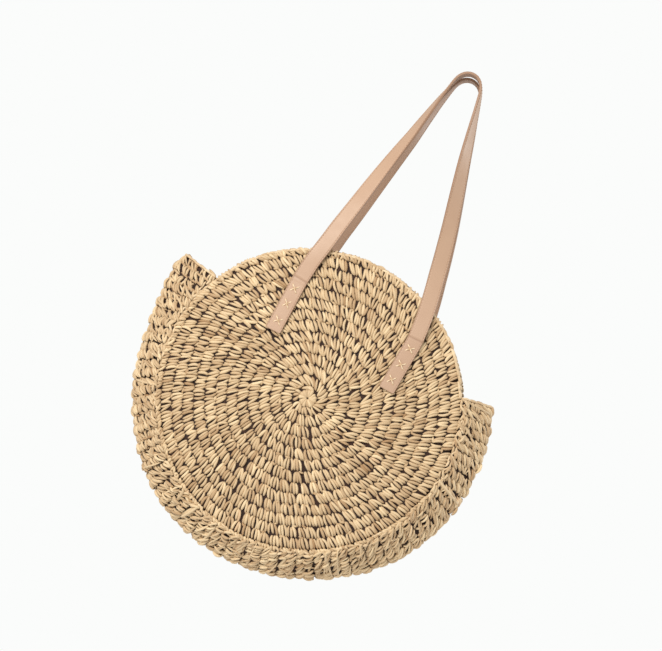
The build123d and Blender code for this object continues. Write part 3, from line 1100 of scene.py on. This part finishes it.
@dataclass
class BagLining:
    """Cotton lining of the discs and the gusset, slack between its seams, and the slip pocket on the back."""

    discs: dict[Side, DiscSurface]
    gusset: GussetSurface
    cotton: bpy.types.Material
    pocket_cotton: bpy.types.Material
    thread: bpy.types.Material
    thickness: float = 0.8 * MM
    gap: float = 2.8 * MM
    hem: float = 6.0 * MM
    hem_rise: float = 2.3 * MM
    ripple: float = 0.35 * MM
    flank_depth: float = 20.6 * MM
    flank_share: float = 0.36
    flank_height: float = 12.6 * MM
    hem_radius: float = 178.4 * MM
    fold_gap: float = 12.2 * MM
    seam_allowance: float = 5.0 * MM
    binding_height: float = 9.0 * MM
    gape: float = 2.2 * MM

    def rise(self, radius: Array, angle: Array) -> Array:
        """Height of the disc lining's middle over the crochet's outer face: slack waves that flatten towards the
        hem, where the cloth comes up to the crochet's inner face."""
        edge = self.radius
        slack = smooth_step((edge - radius) / (60 * MM)) * smooth_step((0.85 - np.sin(angle)) / 0.3)
        slack = slack * (1 - np.exp(-((radius / (95 * MM)) ** 4)))
        waves = np.sin(11 * angle + 14 * radius) + 0.6 * np.sin(23 * angle + 2.0)
        waves = waves + 0.5 * np.sin(90 * radius + 3 * angle)
        hem = smooth_step((radius - (edge - self.hem)) / (self.hem * 0.6))
        depth = CROCHET_WALL + self.gap + self.thickness / 2
        return -depth + self.ripple * slack * waves + self.hem_rise * hem

    def disc(self, side: Side) -> bpy.types.Object:
        """One disc's lining, a round sheet."""
        low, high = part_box(f"{side.word}_lining")
        self.radius = (high.x - low.x) / 2
        angle = np.linspace(0, 2 * math.pi, 144, endpoint=False)[None]
        radius = (self.radius * np.linspace(0, 1, 60) ** 0.9)[:, None]
        grid, _ = self.discs[side].at(angle + 0 * radius, radius + 0 * angle, self.rise(radius, angle))
        skin = grid_skin(grid, grid[..., [0, 2]], closed=True)
        piece = skin.to_object(f"{side.word}_lining_cloth", self.cotton, merged=True)
        self.thicken(piece)
        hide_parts(f"{side.word}_lining")
        return piece

    def thicken(self, piece: bpy.types.Object) -> None:
        """Give a sheet its cloth's thickness, half to each side."""
        solid = piece.modifiers.new("cloth", "SOLIDIFY")
        solid.thickness = self.thickness
        solid.offset = 0.0

    def channel(self) -> bpy.types.Object:
        """The gusset's lining: from the hem straight past the seam, then down into the fold and up again.

        The profile is a V with a rounded tip on two upright flanks, taken as a share q from -1 to 1.
        """
        low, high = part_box("gusset_lining")
        inner = self.gusset.fold_radius - self.fold_gap
        corner = self.hem_radius + self.flank_height
        q = np.linspace(-1, 1, 61)
        web = 1 - self.flank_share
        depth = self.flank_depth * np.clip(q / web, -1, 1)
        fall = np.sqrt((np.abs(q) / web) ** 2 + 0.02) - math.sqrt(0.02)
        radius = np.where(
            np.abs(q) < web,
            inner - (inner - corner) * np.clip(fall / 0.868, 0, 1),
            corner - self.flank_height * (np.abs(q) - web) / self.flank_share,
        )
        s = np.linspace(0, 1, 220)[:, None]
        radius = radius[None] + self.gusset.flare(s) * np.clip((radius[None] - corner) / (inner - corner), 0, 1)
        right = self.gusset.end_angle(np.maximum(radius, self.gusset.base_radius)) - 0.004
        angle = right + (-math.pi - 2 * right) * s
        radius = radius + 0.5 * MM * np.sin(60 * angle + 3 * q[None]) * np.exp(-((q[None] / 0.5) ** 2))
        x, z = radius * np.cos(angle), self.gusset.centre_z + radius * np.sin(angle)
        grid = np.stack([x, depth[None] + 0 * angle, z], axis=-1)
        width = np.linalg.norm(np.diff(grid[110], axis=0), axis=1).sum()
        length = float((high.x - low.x) / 2 * (math.pi + 2 * self.gusset.notch_angle))
        uv = np.stack(np.broadcast_arrays(s * length, q * width / 2), axis=-1)
        piece = grid_skin(grid, uv).to_object("gusset_lining_cloth", self.cotton)
        self.thicken(piece)
        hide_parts("gusset_lining")
        return piece

    def pocket_rise(self, x: Array, share: Array) -> Array:
        """Height of the pocket's cloth: flat along its sewn sides and foot, gaping a little at its top."""
        gape = self.gape * (1 - (2 * x / self.pocket_width) ** 2) ** 2 * smooth_step(share)
        return -(CROCHET_WALL + self.gap + 1.62 * self.thickness) - np.clip(gape, 0, None)

    def pocket(self) -> list[bpy.types.Object]:
        """The slip pocket: a sheet on the back lining, a folded binding over its top edge, and its stitching."""
        disc = self.discs[Side.BACK]
        low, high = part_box("slip_pocket")
        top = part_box("pocket_binding")[1].z
        self.pocket_width = high.x - low.x
        x = np.linspace(low.x, high.x, 51)[None]
        z = np.linspace(low.z, top - 1 * MM, 41)[:, None]
        share = (z - low.z) / (top - low.z)
        at, _ = self.on_disc(disc, x, z, self.pocket_rise(x, share))
        cloth = grid_skin(at, at[..., [0, 2]]).to_object("slip_pocket_cloth", self.pocket_cotton)
        self.thicken(cloth)
        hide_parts("slip_pocket")
        turn = np.linspace(0, 2 * math.pi, 20, endpoint=False)[:, None]
        across = signed_root(np.cos(turn), 0.4) * self.thickness * 1.05
        height = signed_root(np.sin(turn), 0.4) * self.binding_height / 2
        z = top - self.binding_height / 2 + height + 0 * x
        fold = self.pocket_rise(x, (z - low.z) / (top - low.z)) - across
        ring = self.on_disc(disc, x, z, fold)[0].transpose(1, 0, 2)
        caps = [ring[end].mean(1, keepdims=True) + 0 * ring[end] for end in (slice(0, 1), slice(-1, None))]
        ring = np.concatenate([caps[0], ring, caps[1]])
        uv = np.stack([ring[..., 0], ring[..., 2]], axis=-1)
        binding = grid_skin(ring, uv, closed=True).to_object("pocket_binding_tape", self.pocket_cotton, merged=True)
        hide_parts("pocket_binding")
        return [cloth, binding, self.pocket_stitches(disc, low, high, top)]

    def pocket_stitches(self, disc: DiscSurface, low: Vector, high: Vector, top: float) -> bpy.types.Object:
        """A row of short stitches down both sides, along the foot and under the binding."""
        inset, pitch = 3 * MM, 3.4 * MM
        left, right, foot, head = low.x + inset, high.x - inset, low.z + inset, top - self.binding_height + 1 * MM
        corners = np.array([[left, top - 2 * MM], [left, foot], [right, foot], [right, top - 2 * MM]])
        runs = [(corners[k], corners[k + 1]) for k in range(3)]
        runs += [(np.array([left, head]), np.array([right, head]))]
        parts = []
        for start, end in runs:
            count = int(np.linalg.norm(end - start) / pitch)
            t = (np.arange(count)[:, None] + 0.14 + 0.72 * np.linspace(0, 1, 6)[None]) / count
            x, z = (start[k] + (end[k] - start[k]) * t for k in (0, 1))
            arch = np.sin(math.pi * np.linspace(0, 1, 6))[None]
            proud = 1.35 if start[1] == end[1] and start[1] == head else 0.55
            rise = self.pocket_rise(x, (z - low.z) / (top - low.z)) - proud * self.thickness - 0.15 * MM * arch
            spine, up = self.on_disc(disc, x, z, rise)
            thick = 0.22 * MM * arch**0.4 + 0 * x
            parts.append(strands(spine, -up, thick, thick, np.full(count, 0.5), sides=5))
        return Skin.joined(parts).to_object("pocket_stitching", self.thread)

    @staticmethod
    def on_disc(disc: DiscSurface, x: Array, z: Array, rise: Array) -> tuple[Array, Array]:
        """Points over a disc at plain X and Z places, and the disc's normals there."""
        return disc.at(np.arctan2(z - disc.centre_z, x), np.hypot(x, z - disc.centre_z), rise)

    def build(self) -> list[bpy.types.Object]:
        """Make the lining's pieces and ride them on the bag."""
        cloths = [self.disc(side) for side in Side] + [self.channel()]
        pocket = self.pocket()
        for piece in cloths:
            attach(piece, "bag")
        for piece in pocket:
            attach(piece, "bag")
        return cloths + pocket


# ---------------------------------------------------------------- straps


@dataclass(frozen=True)
class StrapFall:
    """How one half of a strap really falls, as the stiff leather and the sewing leave it.

    Attributes:
        heights: shares of the height, from the tab's foot at 0 to the top of the round at 1.
        aside: distance towards +X from the even shape at those shares.
        above: distance upwards from it.
    """

    heights: tuple[float, ...]
    aside: tuple[float, ...]
    above: tuple[float, ...]

    def moved(self, points: Array, low: float, high: float) -> Array:
        """The points with their fall added, read between the shares."""
        share = (points[:, 2] - low) / (high - low)
        moves = [np.interp(share, self.heights, row) * MM for row in (self.aside, self.above)]
        return points + np.stack([moves[0], 0 * share, moves[1]], axis=-1)


FALLS = {
    Hand.RIGHT: StrapFall(
        (0.0, 0.167, 0.24, 0.371, 0.53, 0.736, 0.893, 0.958, 1.0),
        (2.6, 7.0, 6.0, 4.2, 5.0, 4.6, 5.6, 5.4, 2.6),
        (-8.0, -3.0, -1.5, 0.0, 0.0, 0.0, 0.0, 0.0, 0.0),
    ),
    Hand.LEFT: StrapFall(
        (0.0, 0.167, 0.24, 0.371, 0.53, 0.736, 0.893, 0.958, 1.0),
        (3.5, 5.0, -0.6, -2.7, -1.5, 0.6, -1.0, -0.6, 2.6),
        (-4.0, 1.0, 0.5, 0.0, 0.0, 0.0, 0.0, 0.0, 0.0),
    ),
}


@dataclass
class LeatherStrap:
    """One strap: two plies sewn back to back in a single ribbon, from its right tab over the hook to its left."""

    side: Side
    disc: DiscSurface
    leather: bpy.types.Material
    edge_thread: bpy.types.Material
    cross_thread: bpy.types.Material
    ply: float = 1.5 * MM
    lift: float = 0.9 * MM
    hook_round: float = 12.0 * MM
    side_step: float = 11.0 * MM
    arc_lean: float = math.radians(13.5)
    front_bow: float = 3.0 * MM
    sway: float = 5.3 * MM
    twist_power: float = 1.55
    back_drop: float = 3.6 * MM
    crease_gap: float = 0.7 * MM
    tab_corner: float = 2.2 * MM
    stitch_inset: float = 1.7 * MM
    stitch_pitch: float = 3.6 * MM
    cross_span: float = 6.2 * MM
    cross_thread_radius: float = 0.72 * MM

    def __post_init__(self) -> None:
        """Read the tab's and the loop's sizes from their boxes."""
        tab_low, tab_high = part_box(f"{self.side.word}_right_tab_face")
        self.tab_middle = (tab_low.x + tab_high.x) / 2
        self.half_width = (tab_high.x - tab_low.x) / 2
        self.tab_bottom = tab_low.z
        self.crease = tab_high.z + self.crease_gap
        self.path = self.centre_line()

    def half_line(self, hand: Hand) -> tuple[Array, Array, int]:
        """Centres and normals from one tab's foot to the top of the round, and the number of points on the tab.

        The tab follows the disc; the limb's X, depth and height are functions of its share of the climb, and its
        normal turns a quarter turn by a power of that share; the round over the hook is a circle's arc.
        """
        sign, disc = self.side.value, self.disc
        fall, top = FALLS[hand], self.ply * 2
        height = np.arange(self.tab_bottom, self.crease, 1 * MM)
        flat = np.stack([np.full_like(height, hand.value * self.tab_middle), 0 * height, height], axis=-1)
        x, _, z = fall.moved(flat, self.tab_bottom, top).T
        z = z - disc.centre_z
        tab, tab_normal = disc.at(np.arctan2(z, x), np.hypot(x, z), np.full_like(z, self.ply))
        middle_radius = self.hook_round + self.ply
        foot_x = middle_radius * math.cos(self.arc_lean)
        foot_z = middle_radius * math.sin(self.arc_lean) - self.hook_round
        start = self.crease + self.crease_gap
        climb = foot_z - start
        spread = self.tab_middle - foot_x
        side_bow = (climb * math.tan(self.arc_lean) - spread) / 4
        reach = math.hypot(self.tab_middle, self.crease - disc.centre_z)
        begin = abs(disc.at(np.array(0.0), np.array(reach), 0.0)[0][1]) + self.ply + self.lift
        share = np.linspace(0, 1, 320)
        bow = 4 * share * (1 - share)
        depth = begin - (begin - self.side_step) * (share + share**2 - share**3) + self.front_bow * bow
        aside = self.tab_middle - spread * share + side_bow * bow
        limb = np.stack([aside, sign * depth, start + climb * share], axis=-1)
        twist = math.pi / 2 * share**self.twist_power
        limb_normal = np.stack([np.sin(twist), sign * np.cos(twist), 0 * twist], axis=-1)
        turn = np.linspace(self.arc_lean, math.pi / 2, 26)[1:]
        arc_normal = np.stack([np.cos(turn), 0 * turn, np.sin(turn)], axis=-1)
        arc = arc_normal * middle_radius + np.array([0.0, sign * self.side_step, -self.hook_round])
        mirror = np.array([hand.value, 1.0, 1.0])
        free = np.concatenate([limb, arc]) * mirror
        up = np.clip((free[:, 2] - start) / (-self.hook_round - start), 0, 1)
        free[:, 0] += self.sway * 256 / 27 * up * (1 - up) ** 3
        free = fall.moved(free, self.tab_bottom, top)
        if self.side is Side.BACK:
            free[:, 2] -= self.back_drop * smooth_step((up - 0.8) / 0.2)
        normal = np.concatenate([limb_normal, arc_normal]) * mirror
        return np.concatenate([tab, free]), np.concatenate([tab_normal, normal]), len(tab)

    def centre_line(self) -> tuple[Array, Array, Array, Array]:
        """Distance, centre, outward normal and travel at close steps along the whole strap.

        The two halves meet at the top. A short running mean then eases the joins, as stiff leather does.
        """
        right, left = self.half_line(Hand.RIGHT), self.half_line(Hand.LEFT)
        centre = np.concatenate([right[0], left[0][-2::-1]])
        normal = np.concatenate([right[1], left[1][-2::-1]])
        steps = np.linalg.norm(np.diff(centre, axis=0), axis=1)
        distance = np.concatenate([[0], np.cumsum(steps)])
        self.creases = (float(distance[right[2]]), float(distance[-1] - distance[-1 - left[2]]))
        even = np.arange(0, distance[-1], 1 * MM)
        centre, normal = (self.eased(read_rows(even, distance, rows)) for rows in (centre, normal))
        travel = unit(np.gradient(centre, axis=0))
        normal = unit(normal - travel * (normal * travel).sum(-1, keepdims=True))
        return even, centre, normal, travel

    @staticmethod
    def eased(rows: Array, reach: int = 5) -> Array:
        """Running mean over a few steps each side, twice, with the ends carried on in line."""
        kernel = np.ones(2 * reach + 1) / (2 * reach + 1)
        for _ in range(2):
            ahead = 2 * rows[-1] - rows[-2 : -2 - reach : -1]
            behind = 2 * rows[0] - rows[reach:0:-1]
            padded = np.concatenate([behind, rows, ahead])
            rows = np.stack([np.convolve(padded[:, k], kernel, "valid") for k in range(3)], axis=-1)
        return rows

    def read(self, distance: Array) -> tuple[Array, Array, Array]:
        """Centre, normal and travel at distances along the strap, between the path's steps."""
        even, *lines = self.path
        centre, normal, travel = (read_rows(distance, even, rows) for rows in lines)
        return centre, unit(normal), unit(travel)

    @property
    def length(self) -> float:
        """Length of the ribbon."""
        return float(self.path[0][-1])

    def outline(self) -> tuple[Array, Array, Array, Array]:
        """Cross-section: flat faces with a pressed stitch groove near each edge, and rounded, burnished edges with
        the line between the plies sunk in their middle. Gives offsets, thickness, backing and edge marks."""
        groove_at = self.half_width - self.stitch_inset
        near = np.linspace(self.half_width - 3.4 * MM, self.half_width - 0.8 * MM, 9)
        flat = np.concatenate([-near[::-1], np.linspace(-6 * MM, 6 * MM, 7), near])
        turn = np.linspace(-math.pi / 2, math.pi / 2, 11)[1:-1]
        edge_u = self.half_width - 0.75 * MM + 0.75 * MM * np.cos(turn) ** 0.8
        edge_v = self.ply * np.sin(turn)
        edge_u = edge_u - 0.28 * MM * np.exp(-((edge_v / (0.3 * MM)) ** 2))
        groove = 0.22 * MM * np.exp(-(((np.abs(flat) - groove_at) / (0.5 * MM)) ** 2))
        crown = 0.12 * MM * (1 - (flat / self.half_width) ** 2)
        top = self.ply - 0.12 * MM + crown - groove
        u = np.concatenate([flat, edge_u[::-1], flat[::-1], -edge_u])
        v = np.concatenate([top, edge_v[::-1], -top[::-1], edge_v])
        edge_mark = smooth_step((np.abs(u) - (self.half_width - 1.0 * MM)) / (0.6 * MM))
        backing = np.concatenate([0 * flat, 0 * edge_v + 0.5, 0 * flat + 1, 0 * edge_v + 0.5])
        return u, v, backing, edge_mark

    def ribbon(self) -> Skin:
        """Carry the cross-section along the path, narrowed round the tabs' corners and pinched at the creases."""
        creases = np.array([self.creases[0], self.length - self.creases[1]])
        stations = [np.arange(0, self.length, 3 * MM), [self.length]]
        stations += [crease + np.linspace(-6 * MM, 6 * MM, 21) for crease in creases]
        stations += [end + np.array([0.12, 0.5, 1.1, 1.8]) * way * MM for end, way in ((0, 1), (self.length, -1))]
        distance = np.unique(np.concatenate(stations))
        centre, normal, travel = self.read(distance)
        across = np.cross(normal, travel)
        u, v, backing, edge = self.outline()
        from_end = np.minimum(distance, self.length - distance)
        corner = np.clip(self.tab_corner - from_end, 0, None)
        narrow = (self.half_width - self.tab_corner + np.sqrt(self.tab_corner**2 - corner**2)) / self.half_width
        thin = np.clip(0.45 + from_end / (1.3 * MM), 0, 1)
        fold = sum(np.exp(-(((distance - crease) / (1.3 * MM)) ** 2)) for crease in creases)
        ridge = sum(np.exp(-(((np.abs(distance - crease) - 3 * MM) / (1.5 * MM)) ** 2)) for crease in creases)
        sink = (0.4 * fold - 0.12 * ridge)[:, None] * MM * np.clip(v[None] / self.ply, 0, 1) ** 2
        points = (
            centre[:, None]
            + across[:, None] * (u[None] * narrow[:, None])[..., None]
            + normal[:, None] * (v[None] * thin[:, None] - sink)[..., None]
        )
        points = np.concatenate([0 * points[:1] + centre[0], points, 0 * points[:1] + centre[-1]])
        along = np.concatenate([distance[:1], distance, distance[-1:]])
        around = np.concatenate([[0], np.cumsum(np.hypot(np.diff(u), np.diff(v)))])
        uv = np.stack(np.broadcast_arrays(around[None], along[:, None]), axis=-1)
        skin = grid_skin(points, uv, closed=True)
        # Painted shade along the creases: the outer face takes the edge's darker colour at each fold.
        worn = 0.6 * np.concatenate([fold[:1], fold, fold[-1:]])[:, None] * (v[None] > 0)
        skin.values["backing"] = (backing[None] + 0 * worn).ravel()
        skin.values["edge"] = np.maximum(edge[None], worn).ravel()
        return skin

    def edge_stitches(self, rng: np.random.Generator) -> Skin:
        """Saddle stitches in both grooves of both faces: short arched threads, end to end."""
        count = int((self.length - 2 * self.tab_corner) / self.stitch_pitch)
        t = np.linspace(0, 1, 6)
        arch = np.sin(math.pi * t)[None]
        parts = []
        for face, edge in ((1, 1), (1, -1), (-1, 1), (-1, -1)):
            own = rng.normal(0, 1, (count, 3))
            start = self.tab_corner + np.arange(count)[:, None] * self.stitch_pitch
            distance = start + self.stitch_pitch * (0.1 + 0.8 * t[None]) + 0.06 * MM * own[:, :1]
            centre, normal, travel = self.read(distance)
            out = face * (self.ply - 0.36 * MM + 0.34 * MM * arch**0.5)
            slant = (0.16 * MM * (2 * t - 1))[None] + 0.05 * MM * own[:, 1:2]
            aside = edge * (self.half_width - self.stitch_inset) + slant
            spine = centre + np.cross(normal, travel) * aside[..., None] + normal * out[..., None]
            thick = 0.3 * MM * arch**0.35 * (1 + 0.06 * own[:, 2:])
            tone = np.clip(0.5 + 0.2 * own[:, 0], 0, 1)
            parts.append(strands(spine, face * normal, thick, thick, tone, sides=5))
        return Skin.joined(parts)

    def cross_stitches(self, hand: Hand, rng: np.random.Generator) -> Skin:
        """Three crosses on a tab: each arm is a closed loop of thread through leather and crochet.

        A loop follows a rounded box: along the arm it goes as the signed root of a cosine, and in depth as the
        signed root of a sine, so that it lies flat on the leather and turns sharply down at its ends.
        """
        low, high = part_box(f"{self.side.word}_{hand.word}_cross_stitches")
        feet = np.linspace(0.07, 0.91, 3) * (high.z - low.z) + low.z - self.tab_bottom
        turn = np.linspace(0, 2 * math.pi, 40, endpoint=False)
        parts = []
        for foot in feet:
            along = foot + rng.normal(0, 0.4 * MM)
            along = along if hand is Hand.RIGHT else self.length - along
            centre, normal, rise = (row[0] for row in self.read(np.array([along])))
            side = np.cross(rise, normal)
            centre = centre + side * rng.normal(0, 0.5 * MM)
            for layer, slant in enumerate((1, -1)):
                tilt = math.radians(45) * slant + rng.normal(0, 0.09)
                arm = math.cos(tilt) * side + math.sin(tilt) * rise
                run = signed_root(np.cos(turn), 0.55) * self.cross_span * (1.1 + rng.normal(0, 0.05))
                sag = (1.0 + 0.9 * layer) * MM * np.abs(run / self.cross_span) ** 3
                half_drop = self.ply + 4 * MM
                depth = signed_root(np.sin(turn), 0.35) * half_drop - half_drop
                depth = np.where(np.sin(turn) > 0, depth - sag * 0.4, depth)
                top = self.ply + self.cross_thread_radius * (0.6 + 1.4 * layer)
                spine = centre + arm * run[:, None] + normal * (depth + top)[:, None]
                parts.append(self.thread_loop(spine, np.cross(arm, normal)))
        return Skin.joined(parts)

    def thread_loop(self, spine: Array, binormal: Array, sides: int = 8) -> Skin:
        """A closed loop of round thread along a flat closed line with a fixed sideways direction."""
        along = unit(np.roll(spine, -1, axis=0) - np.roll(spine, 1, axis=0))
        out = np.cross(along, binormal)
        turn = np.arange(sides) * 2 * math.pi / sides
        radius = self.cross_thread_radius
        points = spine[:, None] + radius * (
            out[:, None] * np.cos(turn)[None, :, None] + binormal * np.sin(turn)[None, :, None]
        )
        points = np.concatenate([points, points[:1]])
        steps = np.linspace(0, 1, len(points))
        uv = np.stack(np.broadcast_arrays((turn / (2 * math.pi))[None], steps[:, None]), axis=-1)
        return grid_skin(points, uv, closed=True)

    def build(self, rng: np.random.Generator) -> list[bpy.types.Object]:
        """Make the ribbon and its stitching, and the cross stitches on each tab, which ride on the bag."""
        word = self.side.word
        ribbon = self.ribbon().to_object(f"{word}_strap", self.leather, merged=True)
        stitches = self.edge_stitches(rng).to_object(f"{word}_strap_stitching", self.edge_thread)
        tabs = [f"{word}_{hand.word}_tab_{ply}" for hand in Hand for ply in ("face", "backing")]
        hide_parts(f"{word}_strap_face", f"{word}_strap_backing", *tabs)
        for piece in (ribbon, stitches):
            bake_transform(piece)
        pieces = [ribbon, stitches]
        for hand in Hand:
            skin = self.cross_stitches(hand, rng)
            cross = skin.to_object(f"{word}_{hand.word}_cross_thread", self.cross_thread, merged=True)
            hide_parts(f"{word}_{hand.word}_cross_stitches")
            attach(cross, "bag")
            pieces.append(cross)
        return pieces


# ---------------------------------------------------------------- stage


@dataclass
class Studio:
    """Pale floor, soft light from the upper left in front, and a long lens level with the discs."""

    middle: Vector
    azimuth: float = math.radians(6.1)
    below: float = math.radians(2.2)
    distance: float = 3.3
    roll: float = math.radians(26.5)
    lens: float = 149.0
    aim: tuple[float, float] = (-0.018, 0.093)

    def camera(self) -> None:
        """Stand the camera in front, level with the disc centres, and roll it so the bag leans to the right."""
        aim = Vector((self.aim[0], 0.0, self.middle.z + self.aim[1]))
        away = Vector((math.sin(self.azimuth), -math.cos(self.azimuth), 0.0))
        place = Vector((aim.x, 0.0, self.middle.z - self.distance * math.tan(self.below))) + away * self.distance
        forward = (aim - place).normalized()
        level = forward.cross(Vector((0, 0, 1))).normalized()
        upright = level.cross(forward)
        right = math.cos(self.roll) * level + math.sin(self.roll) * upright
        up = -math.sin(self.roll) * level + math.cos(self.roll) * upright
        data = bpy.data.cameras.new("studio_camera")
        data.lens = self.lens
        data.sensor_width = 36.0
        data.clip_end = 50.0
        seen = bpy.data.objects.new("studio_camera", data)
        seen.matrix_world = Matrix.Translation(place) @ Matrix((right, up, -forward)).transposed().to_4x4()
        bpy.context.scene.collection.objects.link(seen)
        bpy.context.scene.camera = seen

    def light(self, name: str, place: tuple[float, float, float], size: float, power: float, colour: str) -> None:
        """A square soft box that faces the bag."""
        data = bpy.data.lights.new(name, "AREA")
        data.size = size
        data.energy = power
        data.color = linear(colour)[:3]
        lamp = bpy.data.objects.new(name, data)
        lamp.location = place
        lamp.rotation_euler = (Vector(place) - self.middle).to_track_quat("Z", "Y").to_euler()
        bpy.context.scene.collection.objects.link(lamp)

    def world(self) -> None:
        """A pale surround, seen brighter than it lights."""
        world = bpy.data.worlds.new("studio_surround")
        bpy.context.scene.world = world
        world.use_nodes = True
        tree = world.node_tree
        tree.nodes.clear()
        path = add_node(tree, "ShaderNodeLightPath")
        fill = add_node(tree, "ShaderNodeBackground", {"Color": linear("F6F4F2"), "Strength": 0.66})
        seen = add_node(tree, "ShaderNodeBackground", {"Color": linear("FBFCFB"), "Strength": 1.0})
        shares = {0: path.outputs["Is Camera Ray"], 1: fill.outputs[0], 2: seen.outputs[0]}
        mixed = add_node(tree, "ShaderNodeMixShader", shares)
        add_node(tree, "ShaderNodeOutputWorld", {"Surface": mixed.outputs[0]})

    def floor(self) -> None:
        """A round pale floor well under the hanging bag."""
        angle = np.linspace(0, 2 * math.pi, 96, endpoint=False)
        height = np.full_like(angle, self.middle.z - 1.0)
        rim = np.stack([2.6 * np.cos(angle), 2.6 * np.sin(angle), height], axis=-1)
        grid = np.stack([rim * [0.0, 0.0, 1.0], rim])
        material, tree = new_material("pale_floor_paint")
        close_surface(tree, {"Base Color": linear("F2F1EF"), "Roughness": 0.9})
        floor = grid_skin(grid, grid[..., :2], closed=True).to_object("studio_floor", material, merged=True)

    def build(self) -> None:
        """Set up the stage."""
        self.camera()
        self.world()
        self.floor()
        self.light("key_soft_box", (-1.3, -2.5, self.middle.z + 1.35), 1.0, 80.0, "FFF8F0")
        self.light("rim_soft_box", (1.9, 0.9, self.middle.z + 0.7), 1.2, 26.0, "FFFFFF")
        bpy.context.scene.view_settings.view_transform = "Standard"


# ---------------------------------------------------------------- the bag


def dress_nodes(frame: dict[str, Any], finishes: dict[str, bpy.types.Material]) -> None:
    """Give the CAD nodes that stay their finish.

    Args:
        frame: the loaded frame.
        finishes: the finish for each node's name.
    """
    for name, material in finishes.items():
        node = frame["nodes"][name]
        for slot in node.material_slots:
            slot.material = material
        LOG.info("%s dressed in %s", name, material.name)


def main() -> None:
    """Load the frame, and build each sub-assembly in order."""
    logging.basicConfig(level=logging.INFO, format="%(name)s: %(message)s")
    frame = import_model()
    straw = PaperStraw("paper_straw", "F3DEB6", "DBBD97", "A3815A").material()
    edging = PaperStraw("paper_straw_edging", "F3DFBC", "DDC39C", "B08F63").material()
    # Painted shade for the dark ground plates behind the crochet.
    painted_shade = PaintedShadeStraw().material()
    leather = StrapLeather().material()
    edge_thread = WaxedThread("waxed_edge_thread", "D2B196", "A88569").material()
    cross_thread = WaxedThread("waxed_cross_thread", "F0DDBE", "C6A67C", turns=14.0).material()
    cotton = CottonLining("lining_cotton", "8C6B4E", "5E4530").material()
    pocket_cotton = CottonLining("pocket_cotton_cloth", "97765A", "664B36").material()
    brass = PressedMetal("antique_brass", "B08D57", "D8BC86", 0.34).material()
    steel = PressedMetal("nickel_plated_steel", "A8A6A2", "CFCDC9", 0.3).material()
    patch_leather = StrapLeather("tan_patch_leather").material()

    rng = np.random.default_rng(SEED)
    discs = {side: DiscSurface(side) for side in Side}
    gusset = GussetSurface()
    made = []
    for side in Side:
        made += CrochetDisc(discs[side], straw, painted_shade, gusset.notch_angle).build(rng)
    made += CrochetGusset(gusset, straw, painted_shade).build(rng)
    made += CrochetEdges(discs, gusset, edging).build(rng)
    made += BagLining(discs, gusset, cotton, pocket_cotton, edge_thread).build()
    for side in Side:
        made += LeatherStrap(side, discs[side], leather, edge_thread, cross_thread).build(rng)
    for piece in made:
        LOG.info("%s: %d faces", piece.name, len(piece.data.polygons))
    finishes = {f"{side.word}_snap_patch": patch_leather for side in Side}
    finishes |= {f"{side.word}_snap_washer": steel for side in Side}
    finishes |= {"snap_socket": brass, "snap_stud": brass}
    dress_nodes(frame, finishes)
    Studio(middle=Vector((0.0, 0.0, discs[Side.FRONT].centre_z))).build()


if __name__ == "__main__":
    main()
